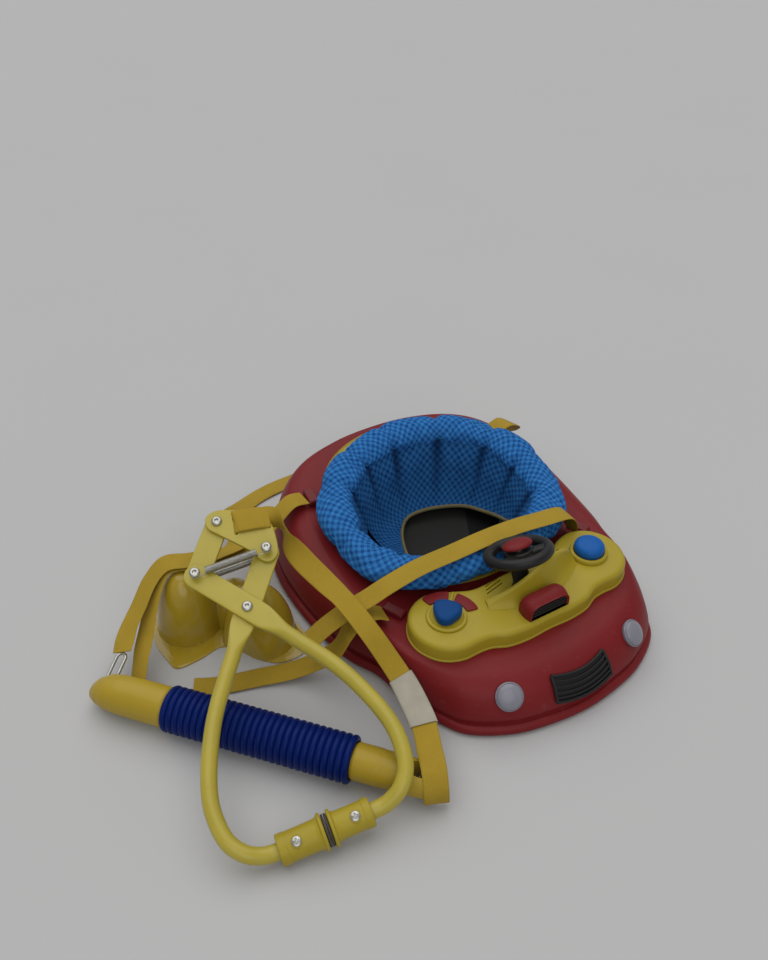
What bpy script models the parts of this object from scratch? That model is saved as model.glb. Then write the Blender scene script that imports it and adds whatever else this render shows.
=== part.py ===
"""Baby doorway jumper: a toy car tray with a fabric seat, its door clamp, spring unit, spreader and straps.

All sizes are in metres and +Z is up. The tray stands on the floor with its nose towards -Y. The clamp, the
spring unit and the spreader lie beside it as they are laid out for storage.
"""
import math

import bmesh
import bpy
import numpy as np
from mathutils import Matrix, Vector

# General
GAP = 0.0003
SOFT_GAP = 0.001
OVERRUN = 0.004
FULL_TURN = 2 * math.pi

# Tray body
BODY_HALF_WIDTH = 0.198
BODY_LENGTH = 0.469
NOSE_REACH = 0.129
BODY_WALL = 0.003
BODY_STATIONS = 42
LIP_HEIGHT = 0.010
LIP_STEP = 0.004
DECK_FRONT = 0.060
DECK_RISE = 0.028
DECK_RISE_FROM = 0.080
DECK_RISE_TO = 0.300
LIP_OUTLINE_SHARES = (
    (0.0, 0.0), (0.303, 0.015), (0.485, 0.041), (0.641, 0.083), (0.717, 0.130), (0.773, 0.190), (0.818, 0.267),
    (0.848, 0.328), (0.929, 0.399), (0.975, 0.488), (1.0, 0.595), (0.990, 0.723), (0.919, 0.834), (0.788, 0.919),
    (0.596, 0.970), (0.303, 0.994), (0.0, 1.0))
SHOULDER_OUTLINE_SHARES = (
    (0.0, 0.136), (0.253, 0.141), (0.455, 0.162), (0.620, 0.203), (0.737, 0.265), (0.775, 0.339), (0.783, 0.446),
    (0.778, 0.574), (0.768, 0.680), (0.737, 0.776), (0.646, 0.868), (0.480, 0.936), (0.253, 0.970), (0.0, 0.979))
WALL_SHARES = ((0.0, 0.0), (0.08, 0.34), (0.28, 0.70), (0.60, 0.93), (1.0, 1.0))

# Seat
SEAT_CENTRE_Y = 0.158
OPENING_HALF_X = 0.112
OPENING_HALF_Y = 0.100
HOOP_THICKNESS = 0.0025
HOOP_HALF_X = 0.138
HOOP_HALF_FRONT = 0.118
HOOP_HALF_REAR = 0.160
COLLAR_HALF_X = 0.128
COLLAR_HALF_Y = 0.108
COLLAR_ROLL_X = 0.021
COLLAR_ROLL_Z = 0.0185
COLLAR_GATHERS = 12
COLLAR_GATHER_DEPTH = 0.0016
SLING_THICKNESS = 0.002
SLING_BOTTOM = 0.0155
SLING_POWER = 6
SLING_RING_SHARES = (1.0, 0.985, 0.95, 0.90, 0.82, 0.68, 0.45, 0.2)
RIGHT_HOLE_X = 0.034
RIGHT_HOLE_Y = 0.168
RIGHT_HOLE_HALF_X = 0.064
RIGHT_HOLE_HALF_Y = 0.050
LEFT_HOLE_X = -0.086
LEFT_HOLE_Y = 0.160
LEFT_HOLE_HALF_X = 0.024
LEFT_HOLE_HALF_Y = 0.042
HOLE_TOP = 0.058
BINDING_RADIUS = 0.0016

# Dash
DASH_HALF_WIDTH = 0.138
DASH_DEPTH = 0.096
DASH_FRONT = -0.057
DASH_HEIGHT = 0.020
DASH_EDGE = 0.006
DASH_OUTLINE_SHARES = (
    (0.0, 0.01), (0.21, 0.0), (0.38, 0.03), (0.50, 0.105), (0.61, 0.125), (0.74, 0.125), (0.86, 0.19), (0.95, 0.32),
    (1.0, 0.52), (0.98, 0.73), (0.89, 0.91), (0.75, 1.0), (0.61, 0.97), (0.48, 0.88), (0.32, 0.80), (0.0, 0.82))
VISOR_HALF_WIDTH = 0.056
VISOR_END_Y = -0.006
VISOR_MIDDLE_Y = -0.024
VISOR_THICKNESS = 0.005
VISOR_FOOT = 0.003
VISOR_END_HEIGHT = 0.010
VISOR_MIDDLE_HEIGHT = 0.035
VISOR_STATIONS = 13
COLUMN_FOOT_Y = -0.009
COLUMN_FOOT_RADIUS = 0.013
COLUMN_RADIUS = 0.009
WHEEL_Y = 0.007
WHEEL_Z = 0.120
WHEEL_TILT = math.radians(24)
WHEEL_RADIUS = 0.0325
WHEEL_RIM = 0.0045
HUB_RADIUS = 0.011
HUB_HEIGHT = 0.008
SPOKES = 3
SPOKE_WIDTH = 0.009
SPOKE_THICKNESS = 0.004
HORN_HALF_X = 0.0175
HORN_HALF_Y = 0.0135
HORN_HEIGHT = 0.007
HORN_TRAVEL = 0.003
HORN_PEG = 0.004
CONTROL_X = 0.097
CONTROL_Y = -0.002
BOSS_RADIUS = 0.0215
BOSS_BORE = 0.0065
BOSS_HEIGHT = 0.003
KNOB_RADIUS = 0.0150
KNOB_LOBE = 0.12
KNOB_HEIGHT = 0.014
GAUGE_INNER = 0.0235
GAUGE_OUTER = 0.0365
GAUGE_THICKNESS = 0.0015
GAUGE_SPANS = (("gauge_segment_left", 52, 104), ("gauge_segment_right", -12, 38))
POINTER_ANGLE = math.radians(45)
POINTER_WIDTH = 0.004
BUTTON_RADIUS = 0.0170
BUTTON_HEIGHT = 0.012
BUTTON_TRAVEL = 0.004
BUTTON_RING_WALL = 0.0035
BUTTON_RING_HEIGHT = 0.005
RETURN_SPRING_RADIUS = 0.006
RETURN_SPRING_WALL = 0.0015

# Front
LIGHT_ANGLE = math.radians(-72)
LIGHT_PLACE = 3.9
LIGHT_RADIUS = 0.0155
LIGHT_SPIGOT = 0.0120
LIGHT_FLANGE = 0.003
LIGHT_DOME = 0.004
LIGHT_DEPTH = 0.007
LIGHT_STANDOFF = 0.0035
GRILLE_HALF_ANGLE = math.radians(7.5)
GRILLE_FROM = 2.7
GRILLE_TO = 4.1
GRILLE_STANDOFF = 0.0012
GRILLE_BAR = 0.0045
GRILLE_RECESS = 0.0028
GRILLE_COLUMNS = 15
SCOOP_HALF_WIDTH = 0.0275
SCOOP_FRONT = -0.0515
SCOOP_BACK = -0.0335
SCOOP_HEIGHT = 0.021
SCOOP_EDGE = 0.004
INTAKE_THICKNESS = 0.0015
INTAKE_HALF_WIDTH = 0.021
INTAKE_HEIGHT = 0.009

# Strap anchors
ANCHOR_WIDTH = 0.026
ANCHOR_DEPTH = 0.012
ANCHOR_HEIGHT = 0.006
ANCHOR_PLACES = (
    ("anchor_front_right", 0.131, 0.052, 1.2), ("anchor_front_left", -0.131, 0.048, 1.5),
    ("anchor_rear_right", 0.132, 0.240, 0.4), ("anchor_rear_left", -0.132, 0.240, -0.4))

# Door clamp
CLAMP_STANDOFF = 0.082
CLAMP_X = -(BODY_HALF_WIDTH + CLAMP_STANDOFF)
CLAMP_Y = 0.0904
CLAMP_Z = 0.1101
CLAMP_TURN = math.radians(-6.35)
CLAMP_LIFT = math.radians(22.8)
CLAMP_ROLL = math.radians(-8.0)
LINK_HALF = 0.0385
LINK_RISE = 0.051
ARM_SPREAD = 0.091
ARM_REACH = 0.229
ARM_BOW = 0.008
ARM_RADIUS = 0.00795
ARM_SIDES = 10
ARM_SHARES = (
    (0.352, -0.201, 0.12), (0.659, -0.380, 0.38), (0.846, -0.533, 0.75), (0.967, -0.677, 1.05), (1.0, -0.786, 1.20),
    (0.956, -0.895, 1.18), (0.835, -0.962, 0.90), (0.69, -0.992, 0.28), (0.55, -1.0, -0.10), (0.33, -1.0, -0.10),
    (0.125, -1.0, -0.10))
PLATE_HALF_WIDTH = 0.0125
PLATE_THICKNESS = 0.004
PLATE_END_SHARES = ((0.96, 0.30), (0.75, 0.72), (0.40, 0.94))
RIVET_RADIUS = 0.003
RIVET_CLEARANCE = 0.0004
RIVET_HEAD_RADIUS = 0.0055
RIVET_HEAD_HEIGHT = 0.0022
POST_REACH = 0.0130
CLAMP_SPRING_WIRE = 0.00075
CLAMP_SPRING_RADIUS = 0.00325
CLAMP_SPRING_CURLS = 13
CLAMP_SPRING_HALF = 0.027
CLAMP_SPRING_HOOK = 0.0042
CURL_POINTS = 8
WIRE_SIDES = 6
FOOT_A_RADIUS = 0.0135
FOOT_A_LENGTH = 0.040
FOOT_B_RADIUS = 0.0148
FOOT_B_LENGTH = 0.044
FLANGE_RADIUS = 0.018
FLANGE_THICKNESS = 0.003
FOOT_BORE_CLEARANCE = 0.0004
FOOT_FLOOR = 0.004
PAD_RADIUS = 0.0150
PAD_THICKNESS = 0.0024
SCREW_RADIUS = 0.004
SCREW_HEIGHT = 0.0018
HANGER_OUTLINE_SHARES = (
    (-0.30, 2.06), (-0.24, 2.17), (-0.08, 2.235), (0.16, 2.235), (0.55, 2.12), (1.13, 1.86), (1.31, 1.72),
    (1.38, 1.50), (1.35, 1.15), (1.27, 0.90), (1.10, 0.77), (0.90, 0.77), (0.72, 0.90), (0.58, 1.12),
    (-0.10, 1.73), (-0.28, 1.90))
SLOT_X_SHARE = 0.74
SLOT_Y_SHARE = 1.775
SLOT_TURN = math.radians(-23)
SLOT_LENGTH = 0.028
SLOT_WIDTH = 0.0036
LOOP_REACH = 0.0155

# Spring unit
UNIT_STANDOFF = 0.1158
UNIT_X = -(BODY_HALF_WIDTH + UNIT_STANDOFF)
UNIT_Y = 0.006
UNIT_HEADING = math.atan2(-0.752, 0.659)
SLEEVE_RADIUS = 0.024
SLEEVE_VALLEY = 0.0214
SLEEVE_BORE = 0.0190
SLEEVE_HALF = 0.1005
SLEEVE_RIBS = 29
SLEEVE_SIDES = 12
LOWER_CAP_LENGTH = 0.093
LOWER_CAP_RADIUS = 0.021
UPPER_CAP_LENGTH = 0.086
UPPER_CAP_RADIUS = 0.0195
CAP_SIDES = 20
LOWER_CAP_SHARES = (
    (0.0, 0.93, 0.0), (0.03, 1.0, 0.0), (0.40, 1.0, 0.0), (0.62, 0.97, 0.02), (0.76, 0.88, 0.06), (0.88, 0.68, 0.16),
    (0.96, 0.44, 0.30), (1.0, 0.24, 0.40))
UPPER_CAP_SHARES = (
    (0.0, 0.90, 0.0), (0.03, 0.95, 0.0), (0.30, 0.95, 0.0), (0.32, 0.935, 0.0), (0.70, 0.915, 0.0), (0.88, 0.86, 0.05),
    (0.97, 0.66, 0.12), (1.0, 0.42, 0.18))
CUTOUT_PLACE = 0.066
CUTOUT_HALF_LENGTH = 0.013
CUTOUT_HALF_WIDTH = 0.0085
CUTOUT_SIDES = 20
PIN_RADIUS = 0.0022
POCKET_PLACE = 0.074
POCKET_HALF_LENGTH = 0.0072
POCKET_HALF_HEIGHT = 0.0050
POCKET_BACK = 0.0085
LINK_WIRE = 0.0018
LINK_LENGTH = 0.046
LINK_WIDTH = 0.0100
LINK_SLOPE = math.radians(20)
MAIN_SPRING_RADIUS = 0.015
MAIN_SPRING_WALL = 0.0028

# Spreader
SPREADER_STANDOFF = 0.086
SPREADER_X = -(BODY_HALF_WIDTH + SPREADER_STANDOFF)
SPREADER_Y = 0.170
SPREADER_WIDTH = 0.150
SPREADER_HEIGHT = 0.0881
SPREADER_STATIONS = 34
SPREADER_OUTLINE_SHARES = (
    (0.52, -0.40), (0.50, -0.14), (0.47, 0.06), (0.33, 0.28), (0.12, 0.42), (-0.10, 0.46), (-0.32, 0.46),
    (-0.46, 0.33), (-0.50, 0.14), (-0.48, -0.05), (-0.44, -0.16), (-0.26, -0.16), (-0.10, -0.13), (0.0, -0.20),
    (0.10, -0.38), (0.24, -0.50), (0.42, -0.50))
SPREADER_DOME_SHARES = ((-0.20, 0.215, 0.235, 1.0), (0.215, -0.17, 0.27, 0.93), (0.16, 0.17, 0.22, 0.55))
SPREADER_RING_SHARES = (1.0, 0.97, 0.88, 0.74, 0.58, 0.40, 0.20)
SPREADER_FLANGE = 0.006

# Webbing
WEB_WIDTH = 0.025
WEB_THICKNESS = 0.0016
WEB_SPAN_STEPS = 3
LABEL_WALL = 0.0012
LABEL_CLEARANCE = 0.0007
LABEL_SIDE_CLEARANCE = 0.0012
HANGING_ROUTE = (
    (-0.2256, 0.1767, 0.1580), (-0.2174, 0.1720, 0.1577), (-0.2122, 0.1604, 0.1530), (-0.2101, 0.1467, 0.1443),
    (-0.2107, 0.1326, 0.1341), (-0.2050, 0.1130, 0.1220), (-0.1950, 0.0850, 0.1100), (-0.1860, 0.0540, 0.1010),
    (-0.1790, 0.0190, 0.0840), (-0.1730, -0.0100, 0.0660), (-0.1710, -0.0360, 0.0490), (-0.1720, -0.0610, 0.0350),
    (-0.1715, -0.0830, 0.0270), (-0.1705, -0.1000, 0.0240), (-0.1737, -0.1113, 0.0238), (-0.1819, -0.1190, 0.0236))
FRONT_RIGHT_ROUTE = (
    (0.1190, 0.0515, 0.0655), (0.1130, 0.0515, 0.0840), (0.0990, 0.0500, 0.0960), (0.0680, 0.0500, 0.1010),
    (0.0340, 0.0540, 0.1040), (-0.0070, 0.0550, 0.1048), (-0.0520, 0.0540, 0.1052), (-0.0960, 0.0540, 0.1056),
    (-0.1330, 0.0535, 0.1010), (-0.1590, 0.0560, 0.0905), (-0.1820, 0.0600, 0.0805), (-0.2070, 0.0610, 0.0700),
    (-0.2270, 0.0600, 0.0600))
FRONT_LEFT_ROUTE = (
    (-0.1434, 0.0475, 0.0665), (-0.1580, 0.0500, 0.0740), (-0.1740, 0.0520, 0.0710), (-0.1890, 0.0490, 0.0600),
    (-0.2020, 0.0500, 0.0400), (-0.2190, 0.0620, 0.0200), (-0.2460, 0.0740, 0.0080), (-0.2810, 0.0880, 0.0030),
    (-0.3200, 0.1000, 0.0020), (-0.3450, 0.1120, 0.0020))
REAR_LEFT_ROUTE = (
    (-0.1404, 0.2420, 0.0882), (-0.1600, 0.2405, 0.0910), (-0.1850, 0.2340, 0.0790), (-0.2050, 0.2290, 0.0680),
    (-0.2390, 0.2140, 0.0730), (-0.2730, 0.2060, 0.0830), (-0.3000, 0.2090, 0.0868), (-0.3250, 0.2180, 0.0858),
    (-0.3460, 0.2140, 0.0725), (-0.3670, 0.1980, 0.0575), (-0.3850, 0.1840, 0.0460), (-0.3983, 0.1651, 0.0394))
REAR_RIGHT_ROUTE = (
    (0.1395, 0.2420, 0.0880), (0.1620, 0.2455, 0.0905), (0.1930, 0.2650, 0.0640), (0.2060, 0.3050, 0.0250),
    (0.1850, 0.3560, 0.0050), (0.1200, 0.3780, 0.0025), (0.0, 0.3800, 0.0020), (-0.1200, 0.3780, 0.0025),
    (-0.1850, 0.3560, 0.0060), (-0.2150, 0.3050, 0.0400), (-0.2230, 0.2550, 0.0730), (-0.2400, 0.2170, 0.0785),
    (-0.2730, 0.2060, 0.0872), (-0.3000, 0.2090, 0.0898), (-0.3250, 0.2180, 0.0889), (-0.3460, 0.2140, 0.0761),
    (-0.3670, 0.1980, 0.0612), (-0.3850, 0.1840, 0.0498), (-0.3960, 0.1690, 0.0445))


def clear_scene():
    """Remove every object that the file starts with."""
    for item in list(bpy.data.objects):
        bpy.data.objects.remove(item, do_unlink=True)


def material(name, colour, rough, metal=0.0):
    """Return a Principled material of one colour."""
    made = bpy.data.materials.new(name)
    made.use_nodes = True
    shader = made.node_tree.nodes["Principled BSDF"]
    shader.inputs["Base Color"].default_value = (*colour, 1.0)
    shader.inputs["Roughness"].default_value = rough
    shader.inputs["Metallic"].default_value = metal
    made.diffuse_color = (*colour, 1.0)
    return made


def empty(name, parent=None, place=None):
    """Return an empty that carries a frame; place is a matrix in the parent's frame."""
    made = bpy.data.objects.new(name, None)
    bpy.context.scene.collection.objects.link(made)
    made.parent = parent
    if place is not None:
        made.matrix_local = place
    return made


def solid(name, verts, faces, colour, frame, smooth=True, hidden=False):
    """Make an object from vertices in its frame's coordinates, with its faces turned outwards."""
    mesh = bpy.data.meshes.new(name)
    mesh.from_pydata([tuple(map(float, v)) for v in verts], [], [tuple(map(int, f)) for f in faces])
    work = bmesh.new()
    work.from_mesh(mesh)
    bmesh.ops.recalc_face_normals(work, faces=work.faces)
    for face in work.faces:
        face.smooth = smooth
    work.to_mesh(mesh)
    work.free()
    made = bpy.data.objects.new(name, mesh)
    bpy.context.scene.collection.objects.link(made)
    made.parent = frame
    if hidden:
        made.hide_render = True
        made.display_type = "WIRE"
    else:
        mesh.materials.append(colour)
    return made


def rings(ring_list, closed=False, start=0):
    """Return vertices and faces of a tube through rings of equal count, capped unless it closes on itself."""
    count = len(ring_list)
    sides = len(ring_list[0])
    verts = np.concatenate([np.asarray(r, float) for r in ring_list])
    faces = []
    for i in range(count if closed else count - 1):
        j = (i + 1) % count
        for k in range(sides):
            m = (k + 1) % sides
            faces.append((start + i * sides + k, start + i * sides + m, start + j * sides + m, start + j * sides + k))
    if not closed:
        faces.append(tuple(start + k for k in reversed(range(sides))))
        faces.append(tuple(start + (count - 1) * sides + k for k in range(sides)))
    return verts, faces


def circle(radius, height, sides, squash=1.0, turn=0.0):
    """Return a ring of points around the Z axis."""
    angle = turn + np.arange(sides) * FULL_TURN / sides
    return np.stack([radius * np.cos(angle), squash * radius * np.sin(angle), np.full(sides, height)], axis=1)


def turned(name, profile, sides, colour, frame, hollow=False, squash=1.0, hidden=False, smooth=True):
    """Turn a profile of (radius, height) points around Z; a hollow one is a closed profile round a bore."""
    verts, faces = rings([circle(r, z, sides, squash) for r, z in profile], closed=hollow)
    return solid(name, verts, faces, colour, frame, smooth=smooth, hidden=hidden)


def slab(name, outline, levels, colour, frame, smooth=False, hidden=False):
    """Stack an outline of (x, y) points at levels of (height, scale about its middle)."""
    outline = np.asarray(outline, float)
    middle = outline.mean(axis=0)
    stack = []
    for height, inset in levels:
        reach = np.linalg.norm(outline - middle, axis=1, keepdims=True)
        ring = middle + (outline - middle) * (1 - inset / reach)
        stack.append(np.column_stack([ring, np.full(len(ring), height)]))
    verts, faces = rings(stack)
    return solid(name, verts, faces, colour, frame, smooth=smooth, hidden=hidden)


def box(name, low, high, frame):
    """Return a hidden box cutter."""
    xs, ys = (low[0], high[0]), (low[1], high[1])
    outline = [(xs[0], ys[0]), (xs[1], ys[0]), (xs[1], ys[1]), (xs[0], ys[1])]
    return slab(name, outline, [(low[2], 0), (high[2], 0)], None, frame, hidden=True)


def smooth_path(points, steps, closed=False):
    """Return points on a Catmull-Rom curve through the given points."""
    pts = np.asarray(points, float)
    count = len(pts)
    out = []
    spans = count if closed else count - 1
    for i in range(spans):
        if closed:
            a, b, c, d = (pts[(i + k) % count] for k in (-1, 0, 1, 2))
        else:
            b, c = pts[i], pts[i + 1]
            a = pts[i - 1] if i else 2 * b - c
            d = pts[i + 2] if i + 2 < count else 2 * c - b
        for s in np.arange(steps) / steps:
            out.append(0.5 * (2 * b + (c - a) * s + (2 * a - 5 * b + 4 * c - d) * s ** 2
                              + (3 * b - a - 3 * c + d) * s ** 3))
    if not closed:
        out.append(pts[-1])
    return np.array(out)


def resample(points, count, closed=False):
    """Return evenly spaced points along a polyline."""
    pts = np.asarray(points, float)
    if closed:
        pts = np.vstack([pts, pts[:1]])
    run = np.concatenate([[0.0], np.cumsum(np.linalg.norm(np.diff(pts, axis=0), axis=1))])
    at = np.linspace(0, run[-1], count + 1)[:-1] if closed else np.linspace(0, run[-1], count)
    return np.stack([np.interp(at, run, pts[:, k]) for k in range(pts.shape[1])], axis=1)


def unit(vector):
    """Return a vector of length one."""
    vector = np.asarray(vector, float)
    return vector / np.linalg.norm(vector, axis=-1, keepdims=True)


def tangents(path, closed=False):
    """Return the unit direction of a path at each of its points."""
    if closed:
        return unit(np.roll(path, -1, axis=0) - np.roll(path, 1, axis=0))
    return unit(np.gradient(path, axis=0))


def swept(name, path, radius, sides, colour, frame, closed=False, first=None):
    """Sweep a round wire along a path, carrying its frame along without twist."""
    path = np.asarray(path, float)
    along = tangents(path, closed)
    side = unit(np.cross(along[0], first if first is not None else (0.3, 0.2, 0.9)))
    stack = []
    angle = np.arange(sides) * FULL_TURN / sides
    for point, direction in zip(path, along):
        side = unit(side - direction * np.dot(side, direction))
        up = np.cross(direction, side)
        stack.append(point + radius * (np.outer(np.cos(angle), side) + np.outer(np.sin(angle), up)))
    verts, faces = rings(stack, closed=closed)
    return solid(name, verts, faces, colour, frame)


def ribbon_frames(path, across):
    """Return the across and thickness directions of flat webbing along a path."""
    along = tangents(path)
    share = np.linspace(0, 1, len(path))
    keys = np.array([a[0] for a in across])
    want = np.stack([np.interp(share, keys, [a[1][k] for a in across]) for k in range(3)], axis=1)
    width = unit(want - along * np.sum(want * along, axis=1, keepdims=True))
    return width, np.cross(along, width)


def ribbon(name, path, across, half_width, half_thickness, colour, frame, bore=None):
    """Sweep flat webbing along a path; bore gives the half sizes of a hollow one."""
    width, normal = across
    signs = ((-1, -1), (1, -1), (1, 1), (-1, 1))
    outer = [np.array([p + a * half_width * w + b * half_thickness * n for a, b in signs])
             for p, w, n in zip(path, width, normal)]
    if bore is None:
        verts, faces = rings(outer)
    else:
        inner = [np.array([p + a * bore[0] * w + b * bore[1] * n for a, b in signs])
                 for p, w, n in zip(path, width, normal)]
        count, last = len(signs), len(outer) - 1
        verts = np.concatenate(outer + inner)
        base = count * len(outer)
        faces = []
        for i in range(last):
            for k in range(count):
                m = (k + 1) % count
                faces.append((i * count + k, i * count + m, (i + 1) * count + m, (i + 1) * count + k))
                faces.append((base + i * count + m, base + i * count + k,
                              base + (i + 1) * count + k, base + (i + 1) * count + m))
        for i in (0, last):
            for k in range(count):
                m = (k + 1) % count
                faces.append((i * count + k, i * count + m, base + i * count + m, base + i * count + k))
    return solid(name, verts, faces, colour, frame, smooth=False)


def boolean(target, cutter, operation="DIFFERENCE"):
    """Cut one object with a hidden one, or join the hidden one to it."""
    modifier = target.modifiers.new(cutter.name, "BOOLEAN")
    modifier.operation = operation
    modifier.solver = "EXACT"
    modifier.object = cutter


def mirrored(shares, half_width, length, front):
    """Return a closed outline from the right half's shares of half width and length, front end first."""
    half = np.array([(x * half_width, front + y * length) for x, y in shares])
    left = half[1:-1][::-1] * (-1, 1)
    return smooth_path(np.vstack([half, left]), 6, closed=True)


def polar(outline):
    """Return the radius of an outline around the seat centre as a function of angle."""
    offset = outline - (0, SEAT_CENTRE_Y)
    angle = np.arctan2(offset[:, 1], offset[:, 0])
    order = np.argsort(angle)
    reach = np.linalg.norm(offset, axis=1)[order]
    return lambda a: np.interp(a, angle[order], reach, period=FULL_TURN)


def ellipse_reach(angle, half_x, half_y):
    """Return the radius of an ellipse at an angle from its centre."""
    return 1 / np.hypot(np.cos(angle) / half_x, np.sin(angle) / half_y)


def deck(y):
    """Return the height of the tray's deck."""
    share = np.clip((y - DECK_RISE_FROM) / (DECK_RISE_TO - DECK_RISE_FROM), 0, 1)
    return DECK_FRONT + DECK_RISE * share ** 2 * (3 - 2 * share)


def body_outlines():
    """Return the reach of the lip and of the shoulder around the seat centre, and the stations' angles."""
    lip = mirrored(LIP_OUTLINE_SHARES, BODY_HALF_WIDTH, BODY_LENGTH, -NOSE_REACH)
    shoulder = mirrored(SHOULDER_OUTLINE_SHARES, BODY_HALF_WIDTH, BODY_LENGTH, -NOSE_REACH)
    even = resample(lip, BODY_STATIONS, closed=True) - (0, SEAT_CENTRE_Y)
    return polar(lip), polar(shoulder), np.arctan2(even[:, 1], even[:, 0])


def body_section(angle, lip, shoulder):
    """Return the outside of the body at one angle as (reach, height), from the lip's foot to the opening."""
    outer = float(lip(angle))
    top = float(shoulder(angle))
    top_height = deck(SEAT_CENTRE_Y + top * math.sin(angle))
    foot = outer - LIP_STEP
    foot_height = LIP_HEIGHT + LIP_STEP / 2
    section = [(outer, 0.0), (outer, LIP_HEIGHT)]
    for inward, upward in WALL_SHARES:
        section.append((foot + (top - foot) * inward, foot_height + (top_height - foot_height) * upward))
    edge = float(ellipse_reach(angle, OPENING_HALF_X, OPENING_HALF_Y))
    middle = (top + edge) / 2
    for reach in (middle, edge):
        section.append((reach, deck(SEAT_CENTRE_Y + reach * math.sin(angle))))
    return np.array(section)


def wall_point(angle, place, lip, shoulder, out=0.0):
    """Return a point on the body's outside at an angle and a place along its section, moved outwards."""
    section = body_section(angle, lip, shoulder)
    index = np.arange(len(section))
    reach = np.interp(place, index, section[:, 0])
    height = np.interp(place, index, section[:, 1])
    lean = np.array([np.interp(place + 0.5, index, section[:, k]) - np.interp(place - 0.5, index, section[:, k])
                     for k in range(2)])
    normal = unit((lean[1], -lean[0]))
    reach, height = reach + out * normal[0], height + out * normal[1]
    return np.array((reach * math.cos(angle), SEAT_CENTRE_Y + reach * math.sin(angle), height))


def build_body(frame, red):
    """Make the tray's shell as one section carried round the seat opening."""
    lip, shoulder, angles = body_outlines()
    stack = []
    for angle in angles:
        outer = body_section(angle, lip, shoulder)
        skin = outer[2:]
        lean = unit(np.gradient(skin, axis=0))
        inner = skin - BODY_WALL * np.stack([lean[:, 1], -lean[:, 0]], axis=1)
        inner = np.vstack([inner[::-1], [(skin[0, 0] - BODY_WALL, 0.0)]])
        inner[0, 0] = outer[-1, 0]
        loop = np.vstack([outer, inner])
        stack.append(np.stack([loop[:, 0] * np.cos(angle), SEAT_CENTRE_Y + loop[:, 0] * np.sin(angle), loop[:, 1]],
                              axis=1))
    verts, faces = rings(stack, closed=True)
    body = solid("body_shell", verts, faces, red, frame)
    return body, lip, shoulder


def carried(angles, sections):
    """Return rings from (reach, height) loops at angles round the seat centre."""
    return [np.stack([s[:, 0] * np.cos(a), SEAT_CENTRE_Y + s[:, 0] * np.sin(a), s[:, 1]], axis=1)
            for a, s in zip(angles, sections)]


def collar_height(y):
    """Return the height of the collar roll's centre."""
    return deck(y) + SOFT_GAP + HOOP_THICKNESS + SOFT_GAP + COLLAR_ROLL_Z


def sling_rim():
    """Return the half sizes of the sling's rim inside the collar."""
    inset = COLLAR_ROLL_X + SOFT_GAP + SLING_THICKNESS
    return COLLAR_HALF_X - inset, COLLAR_HALF_Y - inset


def cup(x, y):
    """Return the height of the sling's inside."""
    half_x, half_y = sling_rim()
    share = np.clip(np.hypot(x / half_x, (y - SEAT_CENTRE_Y) / half_y), 0, 1)
    return SLING_BOTTOM + (collar_height(y) - SLING_BOTTOM) * share ** SLING_POWER


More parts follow.
